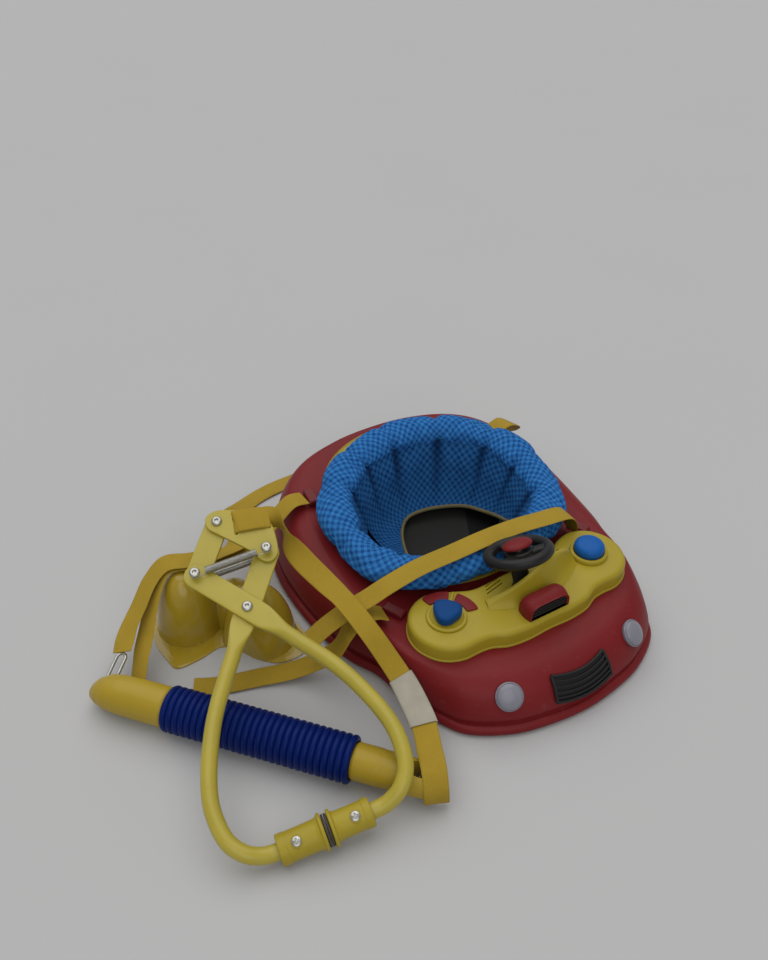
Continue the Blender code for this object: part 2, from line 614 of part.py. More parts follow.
def build_seat(frame, yellow, check, binding_colour):
    """Make the hoop under the collar, the padded collar, the sling and the binding of its leg hole."""
    count = 36
    angles = np.arange(count) * FULL_TURN / count
    sections = []
    for angle in angles:
        inner = float(ellipse_reach(angle, OPENING_HALF_X, OPENING_HALF_Y))
        rear = HOOP_HALF_REAR if math.sin(angle) > 0 else HOOP_HALF_FRONT
        outer = float(ellipse_reach(angle, HOOP_HALF_X, rear))
        points = []
        for lift in (SOFT_GAP, SOFT_GAP + HOOP_THICKNESS):
            reach = np.array((inner, (inner + outer) / 2, outer))
            if lift > SOFT_GAP:
                reach = reach[::-1]
            points += [(r, deck(SEAT_CENTRE_Y + r * math.sin(angle)) + lift) for r in reach]
        sections.append(np.array(points))
    verts, faces = rings(carried(angles, sections), closed=True)
    solid("seat_hoop", verts, faces, yellow, frame)

    stations = 4 * COLLAR_GATHERS
    around = np.arange(8) * FULL_TURN / 8
    stack = []
    for i in range(stations):
        angle = i * FULL_TURN / stations
        centre = np.array((COLLAR_HALF_X * math.cos(angle), SEAT_CENTRE_Y + COLLAR_HALF_Y * math.sin(angle), 0.0))
        centre[2] = collar_height(centre[1])
        outward = unit((math.cos(angle) / COLLAR_HALF_X, math.sin(angle) / COLLAR_HALF_Y, 0))
        drawn = COLLAR_GATHER_DEPTH * (0.5 + 0.5 * math.cos(COLLAR_GATHERS * angle))
        stack.append(centre + (COLLAR_ROLL_X - drawn) * np.outer(np.cos(around), outward)
                     + (COLLAR_ROLL_Z - drawn) * np.outer(np.sin(around), (0, 0, 1)))
    verts, faces = rings(stack, closed=True)
    solid("seat_collar", verts, faces, check, frame)

    half_x, half_y = sling_rim()
    count = 32
    inner = []
    for share in SLING_RING_SHARES:
        ring = []
        for k in range(count):
            angle = k * FULL_TURN / count
            x = share * half_x * math.cos(angle)
            y = SEAT_CENTRE_Y + share * half_y * math.sin(angle)
            ring.append((x, y, cup(x, y)))
        inner.append(np.array(ring))
    stack = np.array(inner)
    down = np.gradient(stack, axis=0)
    round_ = np.roll(stack, -1, axis=1) - np.roll(stack, 1, axis=1)
    outer = stack + SLING_THICKNESS * unit(np.cross(round_, down)) * -1
    if outer[-1, 0, 2] > stack[-1, 0, 2]:
        outer = 2 * stack - outer
    verts, faces = rings(list(stack[::-1]) + list(outer))
    sling = solid("seat_sling", verts, faces, check, frame)
    angle = np.arange(28) * FULL_TURN / 28
    for name, cx, cy, hx, hy, top in (
            ("cut_right_hole", RIGHT_HOLE_X, RIGHT_HOLE_Y, RIGHT_HOLE_HALF_X, RIGHT_HOLE_HALF_Y, DECK_FRONT * 2),
            ("cut_left_hole", LEFT_HOLE_X, LEFT_HOLE_Y, LEFT_HOLE_HALF_X, LEFT_HOLE_HALF_Y, HOLE_TOP)):
        outline = np.stack([cx + hx * np.cos(angle), cy + hy * np.sin(angle)], axis=1)
        boolean(sling, slab(name, outline, [(-OVERRUN, 0), (top, 0)], None, frame, hidden=True))
    angle = np.arange(28) * FULL_TURN / 28
    inset = BINDING_RADIUS + SOFT_GAP / 2
    x = RIGHT_HOLE_X + (RIGHT_HOLE_HALF_X - inset) * np.cos(angle)
    y = RIGHT_HOLE_Y + (RIGHT_HOLE_HALF_Y - inset) * np.sin(angle)
    swept("seat_binding", np.stack([x, y, cup(x, y)], axis=1), BINDING_RADIUS, WIRE_SIDES, binding_colour, frame,
          closed=True)


def build_dash(frame, yellow, red, black, bright, steel):
    """Make the dash panel with its windscreen, wheel, knob, gauge and buttons; return the moving frames."""
    low = DECK_FRONT + GAP
    top = low + DASH_HEIGHT
    outline = mirrored(DASH_OUTLINE_SHARES, DASH_HALF_WIDTH, DASH_DEPTH, DASH_FRONT)
    outline = resample(outline, 48, closed=True)
    edge = DASH_EDGE
    slab("dash_panel", outline, [(low, 0), (top - edge, 0), (top - edge * 0.3, edge * 0.3), (top, edge)], yellow,
         frame, smooth=True)
    foot = top + GAP

    share = np.linspace(-1, 1, VISOR_STATIONS)
    stack = []
    for s in share:
        x = VISOR_HALF_WIDTH * s
        y = VISOR_MIDDLE_Y + (VISOR_END_Y - VISOR_MIDDLE_Y) * s ** 2
        height = VISOR_END_HEIGHT + (VISOR_MIDDLE_HEIGHT - VISOR_END_HEIGHT) * (1 - s ** 2) ** 0.6
        out = unit((0.35 * s, -1, 0))[:2] * VISOR_THICKNESS
        slope = unit((0.35 * s, -1, 0))[:2] * (VISOR_THICKNESS + VISOR_FOOT)
        stack.append(np.array([(x, y, foot), (x + slope[0], y + slope[1], foot),
                               (x + out[0], y + out[1], foot + height), (x, y, foot + height)]))
    verts, faces = rings(stack)
    solid("windscreen", verts, faces, yellow, frame, smooth=False)

    tilt = Matrix.Rotation(-WHEEL_TILT, 4, "X")
    wheel_frame = empty("wheel_axis", frame, Matrix.Translation((0, WHEEL_Y, WHEEL_Z)) @ tilt)
    axis = np.array((0, math.sin(WHEEL_TILT), math.cos(WHEEL_TILT)))
    along = np.array((0, math.cos(WHEEL_TILT), -math.sin(WHEEL_TILT)))
    angle = np.arange(16) * FULL_TURN / 16
    centre = np.array((0, WHEEL_Y, WHEEL_Z))
    end = centre - axis * (HUB_HEIGHT / 2 + SOFT_GAP)
    stack = [np.stack([COLUMN_FOOT_RADIUS * np.cos(angle), COLUMN_FOOT_Y + COLUMN_FOOT_RADIUS * np.sin(angle),
                       np.full(16, foot)], axis=1)]
    for back, radius in ((0.72, COLUMN_RADIUS), (0.0, COLUMN_RADIUS)):
        middle = end - axis * back * (end[2] - foot) * 0.9
        stack.append(middle + radius * (np.outer(np.cos(angle), (1, 0, 0)) + np.outer(np.sin(angle), along)))
    verts, faces = rings(stack)
    solid("steering_column", verts, faces, black, frame)

    around = np.arange(6) * FULL_TURN / 6
    stack = []
    for a in np.arange(28) * FULL_TURN / 28:
        out = np.array((math.cos(a), math.sin(a), 0))
        stack.append(out * WHEEL_RADIUS + WHEEL_RIM * (np.outer(np.cos(around), out)
                                                       + np.outer(np.sin(around), (0, 0, 1))))
    verts, faces = rings(stack, closed=True)
    wheel = solid("steering_wheel", verts, faces, black, wheel_frame)
    half = HUB_HEIGHT / 2
    hub = turned("join_hub", [(HUB_RADIUS, -half), (HUB_RADIUS, half),
                              (HUB_RADIUS * 0.55, half), (HUB_RADIUS * 0.55, -half * 0.2)], 20, None, wheel_frame,
                 hidden=True)
    boolean(wheel, hub, "UNION")
    for i in range(SPOKES):
        turn = math.radians(90) + i * FULL_TURN / SPOKES
        out = np.array((math.cos(turn), math.sin(turn)))
        side = np.array((-out[1], out[0])) * SPOKE_WIDTH / 2
        near, far = out * HUB_RADIUS * 0.8, out * WHEEL_RADIUS
        spoke = slab("join_spoke_%d" % i, [near - side, far - side, far + side, near + side],
                     [(-SPOKE_THICKNESS / 2, 0), (SPOKE_THICKNESS / 2, 0)], None, wheel_frame, hidden=True)
        boolean(wheel, spoke, "UNION")
    base = half + GAP + HORN_TRAVEL
    horn = turned("horn_button", [(HORN_PEG, -half * 0.2 + GAP * 2 + HORN_TRAVEL + SOFT_GAP), (HORN_PEG, base),
                                  (HORN_HALF_X * 0.94, base), (HORN_HALF_X, base + HORN_HEIGHT * 0.25),
                                  (HORN_HALF_X * 0.86, base + HORN_HEIGHT * 0.7),
                                  (HORN_HALF_X * 0.5, base + HORN_HEIGHT * 0.95), (HORN_HALF_X * 0.12, base
                                                                                 + HORN_HEIGHT)],
                  20, red, wheel_frame, squash=1.0)
    for vertex in horn.data.vertices:
        if vertex.co.z >= base - GAP:
            vertex.co.y *= HORN_HALF_Y / HORN_HALF_X

    knob_frame = empty("knob_axis", frame, Matrix.Translation((-CONTROL_X, CONTROL_Y, foot)))
    bore = BOSS_BORE
    turned("knob_boss", [(BOSS_RADIUS, 0), (BOSS_RADIUS, BOSS_HEIGHT * 0.6), (BOSS_RADIUS - BOSS_HEIGHT / 2, BOSS_HEIGHT),
                         (bore, BOSS_HEIGHT), (bore, 0)], 28, yellow, knob_frame, hollow=True)
    stack = [circle(bore - 2 * GAP, GAP * 2, 24), circle(bore - 2 * GAP, BOSS_HEIGHT + GAP, 24)]
    start = BOSS_HEIGHT + GAP
    for scale, height in ((0.90, 0.0), (1.0, 0.15), (0.97, 0.72), (0.84, 0.93), (0.55, 1.0)):
        ring = circle(1.0, start + KNOB_HEIGHT * height, 24)
        lobes = KNOB_RADIUS * scale * (1 + KNOB_LOBE * np.cos(3 * np.arange(24) * FULL_TURN / 24 + 0.9))
        ring[:, :2] *= lobes[:, None]
        stack.append(ring)
    verts, faces = rings(stack)
    solid("key_knob", verts, faces, bright, knob_frame)
    for name, first, last in GAUGE_SPANS:
        sweep = np.radians(np.linspace(first, last, 9))
        arc = np.stack([np.cos(sweep), np.sin(sweep)], axis=1)
        outline = np.vstack([arc * GAUGE_OUTER, arc[::-1] * GAUGE_INNER])
        stack = [np.column_stack([outline, np.full(len(outline), z)]) for z in (0, GAUGE_THICKNESS)]
        verts, faces = rings(stack)
        solid(name, verts, faces, red, knob_frame, smooth=False)
    out = np.array((math.cos(POINTER_ANGLE), math.sin(POINTER_ANGLE)))
    side = np.array((-out[1], out[0])) * POINTER_WIDTH / 2
    slab("gauge_pointer", [out * GAUGE_INNER - side, out * GAUGE_OUTER - side, out * GAUGE_OUTER + side,
                           out * GAUGE_INNER + side], [(0, 0), (GAUGE_THICKNESS * 1.5, 0)], yellow, knob_frame)

    button_frame = empty("button_axis", frame, Matrix.Translation((CONTROL_X, CONTROL_Y, foot)))
    inner = BUTTON_RADIUS + GAP * 1.5
    turned("button_ring", [(inner + BUTTON_RING_WALL, 0), (inner + BUTTON_RING_WALL, BUTTON_RING_HEIGHT * 0.6),
                           (inner + BUTTON_RING_WALL * 0.6, BUTTON_RING_HEIGHT), (inner, BUTTON_RING_HEIGHT),
                           (inner, 0)], 28, yellow, button_frame, hollow=True)
    rise = BUTTON_TRAVEL + GAP
    room = RETURN_SPRING_RADIUS + GAP * 3
    turned("round_button", [(room, rise + BUTTON_HEIGHT * 0.5), (room, rise), (BUTTON_RADIUS, rise),
                            (BUTTON_RADIUS, rise + BUTTON_HEIGHT * 0.35),
                            (BUTTON_RADIUS * 0.9, rise + BUTTON_HEIGHT * 0.68),
                            (BUTTON_RADIUS * 0.6, rise + BUTTON_HEIGHT * 0.93),
                            (BUTTON_RADIUS * 0.2, rise + BUTTON_HEIGHT)], 24, bright, button_frame)
    for name, holder, low_end, high_end, radius in (
            ("button_spring", button_frame, 0, rise + BUTTON_HEIGHT * 0.45, RETURN_SPRING_RADIUS),
            ("horn_spring", wheel_frame, GAP - half * 0.2, base - GAP, HORN_PEG + GAP + RETURN_SPRING_WALL)):
        turned(name, [(radius, low_end), (radius, high_end), (radius - RETURN_SPRING_WALL, high_end),
                      (radius - RETURN_SPRING_WALL, low_end)], 16, steel, holder, hollow=True)
    return foot


def surface_patch(name, lip, shoulder, colour, frame):
    """Make the grille as a patch that follows the nose, with raised bars."""
    angles = np.linspace(-GRILLE_HALF_ANGLE, GRILLE_HALF_ANGLE, GRILLE_COLUMNS) - math.radians(90)
    places = np.linspace(GRILLE_FROM, GRILLE_TO, 5)
    back, front = [], []
    for i, angle in enumerate(angles):
        out = GRILLE_BAR if i % 2 == 0 else GRILLE_RECESS
        back.append([wall_point(angle, p, lip, shoulder, GRILLE_STANDOFF) for p in places])
        front.append([wall_point(angle, p, lip, shoulder, out) for p in places])
    stack = [np.vstack([b, f[::-1]]) for b, f in zip(back, front)]
    verts, faces = rings(stack)
    faces = faces[:-2]
    rows, loop = len(stack), len(stack[0])
    for i in (0, rows - 1):
        for k in range(len(places) - 1):
            faces.append((i * loop + k, i * loop + k + 1, i * loop + loop - 2 - k, i * loop + loop - 1 - k))
    solid(name, verts, faces, colour, frame, smooth=False)


def build_front(frame, body, lip, shoulder, foot, red, black, grey):
    """Make the headlights, the grille, the scoop with its intake and the strap anchors."""
    for side, name in ((1, "headlight_right"), (-1, "headlight_left")):
        angle = LIGHT_ANGLE if side > 0 else math.pi - LIGHT_ANGLE
        here = wall_point(angle, LIGHT_PLACE, lip, shoulder)
        next_ = wall_point(angle + 0.08, LIGHT_PLACE, lip, shoulder)
        above = wall_point(angle, LIGHT_PLACE + 0.4, lip, shoulder)
        normal = unit(np.cross(next_ - here, above - here))
        turn = Vector(normal).to_track_quat("Z", "Y").to_matrix().to_4x4()
        light_frame = empty(name + "_axis", frame, Matrix.Translation(here + normal * LIGHT_STANDOFF) @ turn)
        turned(name, [(LIGHT_SPIGOT, -LIGHT_DEPTH - LIGHT_STANDOFF), (LIGHT_SPIGOT, 0), (LIGHT_RADIUS, 0),
                      (LIGHT_RADIUS, LIGHT_FLANGE), (LIGHT_RADIUS * 0.85, LIGHT_FLANGE + LIGHT_DOME * 0.6),
                      (LIGHT_RADIUS * 0.4, LIGHT_FLANGE + LIGHT_DOME)], 20, grey, light_frame)
        hole = turned("cut_" + name, [(LIGHT_SPIGOT + GAP * 2, -LIGHT_DEPTH * 3), (LIGHT_SPIGOT + GAP * 2, OVERRUN)],
                      20, None, light_frame, hidden=True)
        boolean(body, hole)
    surface_patch("grille", lip, shoulder, black, frame)

    half, rise, edge = SCOOP_HALF_WIDTH, SCOOP_HEIGHT, SCOOP_EDGE
    stack = []
    for y, wide, high in ((SCOOP_FRONT, half - 0.25 * edge, rise - 1.4 * edge), (SCOOP_FRONT + 0.6 * edge, half,
                          rise - 0.9 * edge), (SCOOP_BACK - 0.8 * edge, half, rise), (SCOOP_BACK, half - edge,
                          rise - 0.6 * edge)):
        stack.append(np.array([(-wide, y, foot), (-wide, y, foot + high - edge), (-wide + 0.3 * edge, y, foot + high
                     - 0.3 * edge), (-wide + edge, y, foot + high), (wide - edge, y, foot + high),
                     (wide - 0.3 * edge, y, foot + high - 0.3 * edge), (wide, y, foot + high - edge),
                     (wide, y, foot)]))
    verts, faces = rings(stack)
    solid("bonnet_scoop", verts, faces, red, frame, smooth=False)
    front = SCOOP_FRONT - GAP
    middle = foot + (rise - edge) * 0.5
    verts, faces = rings([np.array([(x, front - depth, middle + z) for x, z in (
        (-INTAKE_HALF_WIDTH, -INTAKE_HEIGHT / 2), (INTAKE_HALF_WIDTH, -INTAKE_HEIGHT / 2),
        (INTAKE_HALF_WIDTH, INTAKE_HEIGHT / 2), (-INTAKE_HALF_WIDTH, INTAKE_HEIGHT / 2))])
        for depth in (0, INTAKE_THICKNESS)])
    solid("scoop_intake", verts, faces, black, frame, smooth=False)

    for name, x, y, turn in ANCHOR_PLACES:
        corners = [(-ANCHOR_DEPTH / 2, -ANCHOR_WIDTH / 2), (ANCHOR_DEPTH / 2, -ANCHOR_WIDTH / 2),
                   (ANCHOR_DEPTH / 2, ANCHOR_WIDTH / 2), (-ANCHOR_DEPTH / 2, ANCHOR_WIDTH / 2)]
        turned_by = turn * 0.3
        outline = [(x + a * math.cos(turned_by) - b * math.sin(turned_by),
                    y + a * math.sin(turned_by) + b * math.cos(turned_by)) for a, b in corners]
        high = max(deck(py) for _, py in outline) + 2 * GAP
        slab(name, outline, [(high, 0), (high + ANCHOR_HEIGHT * 0.7, 0), (high + ANCHOR_HEIGHT,
                                                                         ANCHOR_HEIGHT * 0.3)], black, frame)


def arm_centre(side):
    """Return an arm's centreline beyond the hinge; side is 1 for arm a and -1 for arm b."""
    return np.array([(side * x * ARM_SPREAD, y * ARM_REACH, w * ARM_BOW) for x, y, w in ARM_SHARES])


def squared(theta, wide, thick, power):
    """Return the section of an arm, from a flat plate at a high power to a round tube at two."""
    c, s = np.cos(theta), np.sin(theta)
    return (wide * np.sign(c) * np.abs(c) ** (2 / power), thick * np.sign(s) * np.abs(s) ** (2 / power))


def build_arm(name, side, colour, frame, origin):
    """Make one clamp arm: a flat plate from the far rivet past the hinge, then a bent tube to the foot."""
    level = side * (PLATE_THICKNESS / 2 + GAP)
    pivot = np.array((-side * LINK_HALF, LINK_RISE, level))
    hinge = np.array((0.0, 0.0, level))
    back = unit(pivot - hinge)
    path, shape = [], []
    for out, wide in PLATE_END_SHARES:
        path.append(pivot + back * out * PLATE_HALF_WIDTH)
        shape.append((wide * PLATE_HALF_WIDTH, PLATE_THICKNESS / 2, 6))
    for share in (0.0, 0.5, 1.0):
        path.append(pivot + (hinge - pivot) * share)
        shape.append((PLATE_HALF_WIDTH, PLATE_THICKNESS / 2, 6))
    past = hinge - back * PLATE_HALF_WIDTH * 1.15
    path.append(past)
    shape.append((PLATE_HALF_WIDTH * 0.96, PLATE_THICKNESS / 2, 6))
    curve = smooth_path(np.vstack([path[-2:], arm_centre(side)]), 2)[3:]
    for i, point in enumerate(curve):
        share = min(1.0, (i + 0.6) / 2.5)
        path.append(point)
        shape.append((PLATE_HALF_WIDTH + (ARM_RADIUS - PLATE_HALF_WIDTH) * share,
                      PLATE_THICKNESS / 2 + (ARM_RADIUS - PLATE_THICKNESS / 2) * share, 6 - 4 * share))
    path = np.array(path)
    along = tangents(path)
    theta = np.arange(ARM_SIDES) * FULL_TURN / ARM_SIDES + math.radians(18)
    stack = []
    for point, direction, (wide, thick, power) in zip(path, along, shape):
        across = unit(np.cross((0, 0, 1), direction))
        up = np.cross(direction, across)
        a, b = squared(theta, wide, thick, power)
        stack.append(point + np.outer(a, across) + np.outer(b, up))
    verts, faces = rings(stack)
    arm = solid(name, verts - origin, faces, colour, frame)
    radius = RIVET_RADIUS + RIVET_CLEARANCE
    for label, place in (("far", pivot), ("hinge", hinge)):
        outline = circle(radius, 0, 16)[:, :2] + place[:2] - np.asarray(origin)[:2]
        boolean(arm, slab("cut_%s_%s" % (name, label), outline, [(level - PLATE_THICKNESS * 2, 0),
                                                               (level + PLATE_THICKNESS * 2, 0)], None, frame,
                          hidden=True))
    return path


def rivet(name, place, reach, colour, frame):
    """Make a rivet with a head at each end of its shaft, centred on the clamp's middle plane."""
    x, y = place
    profile = [(RIVET_HEAD_RADIUS * 0.6, -reach - RIVET_HEAD_HEIGHT), (RIVET_HEAD_RADIUS, -reach - RIVET_HEAD_HEIGHT / 3),
               (RIVET_HEAD_RADIUS, -reach), (RIVET_RADIUS, -reach), (RIVET_RADIUS, reach), (RIVET_HEAD_RADIUS, reach),
               (RIVET_HEAD_RADIUS, reach + RIVET_HEAD_HEIGHT / 3), (RIVET_HEAD_RADIUS * 0.6,
                                                                    reach + RIVET_HEAD_HEIGHT)]
    verts, faces = rings([circle(r, z, 12) + (x, y, 0) for r, z in profile])
    return solid(name, verts, faces, colour, frame)


def link_outline(length, half_width):
    """Return the outline of a straight link with round ends, along +X from its first pivot."""
    turn = np.linspace(90, 270, 7) * math.pi / 180
    ends = [(half_width * math.cos(t), half_width * math.sin(t)) for t in turn]
    ends += [(length - half_width * math.cos(t), -half_width * math.sin(t)) for t in turn]
    return np.array(ends)


def clamp_spring(name, level, colour, frame):
    """Make a tension spring between the posts as one unbroken wire with a hook at each end."""
    hook = CLAMP_SPRING_HOOK
    points = []
    for a in np.radians(np.linspace(50, 308, 9)):
        points.append((-LINK_HALF + hook * math.cos(a), LINK_RISE + hook * math.sin(a), level))
    steps = CLAMP_SPRING_CURLS * CURL_POINTS
    for i in range(steps + 1):
        a = math.pi * 1.5 + i * FULL_TURN / CURL_POINTS
        x = -CLAMP_SPRING_HALF + 2 * CLAMP_SPRING_HALF * i / steps
        points.append((x, LINK_RISE + CLAMP_SPRING_RADIUS * math.sin(a), level + CLAMP_SPRING_RADIUS * math.cos(a)))
    for a in np.radians(np.linspace(232, 490, 9)):
        points.append((LINK_HALF + hook * math.cos(a), LINK_RISE + hook * math.sin(a), level))
    path = np.array(points)
    swept(name, path, CLAMP_SPRING_WIRE, WIRE_SIDES, colour, frame, first=(0, 0, 1))
    least = min(np.linalg.norm(path[i] - path[j]) for i in range(len(path))
                for j in range(i + CURL_POINTS // 2, len(path)))
    print(name, "least gap between its turns, mm:", round((least - 2 * CLAMP_SPRING_WIRE) * 1000, 2))


def build_foot(prefix, side, radius, length, colour, rubber, steel, clamp, holder):
    """Make a foot's sleeve with its flange, its rubber pad and its screw head, on the arm's end."""
    seat = np.array((0.0, -ARM_REACH, ARM_SHARES[-1][2] * ARM_BOW))
    turn = Matrix.Rotation(side * math.radians(90), 4, "Y")
    if holder is not None:
        base = holder.matrix_local.inverted() if holder.parent == clamp else Matrix.Identity(4)
        place = base @ Matrix.Translation(seat) @ turn
        axis = empty(prefix + "_axis", holder, place)
    else:
        axis = empty(prefix + "_axis", clamp, Matrix.Translation(seat) @ turn)
    pad = GAP + PAD_THICKNESS
    start = pad + GAP
    bore = ARM_RADIUS + FOOT_BORE_CLEARANCE
    floor = start + FLANGE_THICKNESS + FOOT_FLOOR
    turned("foot_sleeve_" + prefix, [
        (FLANGE_RADIUS - FLANGE_THICKNESS / 3, start), (FLANGE_RADIUS, start + FLANGE_THICKNESS / 3), (FLANGE_RADIUS, start + FLANGE_THICKNESS),
        (radius, start + FLANGE_THICKNESS), (radius, start + length * 0.92), (radius * 0.93, start + length),
        (bore, start + length), (bore, floor)], 20, colour, axis)
    turned("rubber_pad_" + prefix, [(PAD_RADIUS * 0.95, GAP), (PAD_RADIUS, GAP + PAD_THICKNESS / 2),
                                   (PAD_RADIUS * 0.97, pad)], 24, rubber, axis)
    screw_frame = empty(prefix + "_screw_axis", axis, Matrix.Translation((
        -side * (radius + GAP * 2), 0, start + length * 0.6)) @ Matrix.Rotation(
        side * math.radians(-90), 4, "Y"))
    turned("screw_" + prefix, [(SCREW_RADIUS, 0), (SCREW_RADIUS, SCREW_HEIGHT * 0.5), (SCREW_RADIUS * 0.6,
                                                                                      SCREW_HEIGHT)],
           16, steel, screw_frame)


def build_clamp(root, paint, gold, steel, rubber, webbing):
    """Make the door clamp in its own frame; return the frame and arm b's frame."""
    place = (Matrix.Translation((CLAMP_X, CLAMP_Y, CLAMP_Z)) @ Matrix.Rotation(CLAMP_TURN, 4, "Z")
             @ Matrix.Rotation(CLAMP_LIFT, 4, "X") @ Matrix.Rotation(CLAMP_ROLL, 4, "Y"))
    clamp = empty("clamp_frame", root, place)
    arm_frame = empty("arm_axis", clamp, Matrix.Identity(4))
    build_arm("arm_a", 1, paint, clamp, (0, 0, 0))
    build_arm("arm_b", -1, paint, arm_frame, (0, 0, 0))

    far_a = np.array((-LINK_HALF, LINK_RISE))
    top = np.array((0.0, 2 * LINK_RISE))
    far_b = np.array((LINK_HALF, LINK_RISE))
    link_frame = empty("link_axis", clamp, Matrix.Translation((*far_a, 0)))
    hanger_frame = empty("hanger_axis", clamp, Matrix.Translation((*top, 0)))
    upper, lower = PLATE_THICKNESS / 2 + GAP, -PLATE_THICKNESS / 2 - GAP
    radius = RIVET_RADIUS + RIVET_CLEARANCE

    length = float(np.linalg.norm(top - far_a))
    turn = math.atan2(*(top - far_a)[::-1])
    spin = np.array(((math.cos(turn), -math.sin(turn)), (math.sin(turn), math.cos(turn))))
    outline = link_outline(length, PLATE_HALF_WIDTH) @ spin.T
    bevel = PLATE_THICKNESS * 0.15
    link = slab("link_a", outline, [(lower - PLATE_THICKNESS / 2, bevel), (lower - PLATE_THICKNESS / 2 + bevel, 0),
                                    (lower + PLATE_THICKNESS / 2, 0)], paint, link_frame)
    for i, centre in enumerate((np.zeros(2), top - far_a)):
        hole = slab("cut_link_%d" % i, circle(radius, 0, 16)[:, :2] + centre,
                    [(lower - PLATE_THICKNESS, 0), (lower + PLATE_THICKNESS, 0)], None, link_frame, hidden=True)
        boolean(link, hole)

    outline = np.array([(x * LINK_HALF, y * LINK_RISE) for x, y in HANGER_OUTLINE_SHARES]) - top
    low = upper - PLATE_THICKNESS / 2
    stack = [np.column_stack([outline, np.full(len(outline), z)]) for z in (low, low + PLATE_THICKNESS)]
    verts, faces = rings(stack)
    hanger = solid("hanger_plate", verts, faces, paint, hanger_frame, smooth=False)
    for i, centre in enumerate((np.zeros(2), far_b - top)):
        hole = slab("cut_hanger_%d" % i, circle(radius, 0, 16)[:, :2] + centre,
                    [(low - PLATE_THICKNESS, 0), (low + PLATE_THICKNESS * 2, 0)], None, hanger_frame, hidden=True)
        boolean(hanger, hole)
    middle = np.array((SLOT_X_SHARE * LINK_HALF, SLOT_Y_SHARE * LINK_RISE)) - top
    along = np.array((math.cos(SLOT_TURN), math.sin(SLOT_TURN)))
    across = np.array((-along[1], along[0]))
    corners = [middle + a * along * SLOT_LENGTH / 2 + b * across * SLOT_WIDTH / 2
               for a, b in ((-1, -1), (1, -1), (1, 1), (-1, 1))]
    boolean(hanger, slab("cut_slot", corners, [(low - PLATE_THICKNESS, 0), (low + PLATE_THICKNESS * 2, 0)], None,
                         hanger_frame, hidden=True))

    plates = PLATE_THICKNESS + 3 * GAP
    rivet("rivet_hinge", (0, 0), plates, steel, clamp)
    rivet("rivet_link", far_a, POST_REACH, steel, clamp)
    rivet("rivet_hanger", far_b, POST_REACH, steel, arm_frame)
    rivet("rivet_top", (0, 0), plates, steel, hanger_frame)
    level = (PLATE_THICKNESS + GAP + POST_REACH) / 2
    clamp_spring("clamp_spring_upper", level, steel, clamp)
    clamp_spring("clamp_spring_lower", -level, steel, clamp)

    build_foot("a", 1, FOOT_A_RADIUS, FOOT_A_LENGTH, gold, rubber, steel, clamp, None)
    build_foot("b", -1, FOOT_B_RADIUS, FOOT_B_LENGTH, gold, rubber, steel, clamp, arm_frame)

    half = WEB_THICKNESS / 2
    reach_low, reach_high = 0.0, LOOP_REACH
    low_z, high_z = low - WEB_THICKNESS, low + PLATE_THICKNESS + WEB_THICKNESS
    corner = WEB_THICKNESS
    track = [(reach_low, low_z + corner), (reach_low + corner, low_z), (reach_high - corner, low_z),
             (reach_high, low_z + corner), (reach_high, high_z - corner), (reach_high - corner, high_z),
             (reach_low + corner, high_z), (reach_low, high_z - corner)]
    path = np.array([(*(middle + across * a), z) for a, z in track])
    heading = tangents(path, closed=True)
    side = np.array((*along, 0.0))
    stack = []
    for point, direction in zip(path, heading):
        normal = unit(np.cross(direction, side))
        stack.append(np.array([point + a * side * WEB_WIDTH / 2 + b * half * normal
                               for a, b in ((-1, -1), (1, -1), (1, 1), (-1, 1))]))
    verts, faces = rings(stack, closed=True)
    solid("hanger_loop", verts, faces, webbing, hanger_frame, smooth=False)


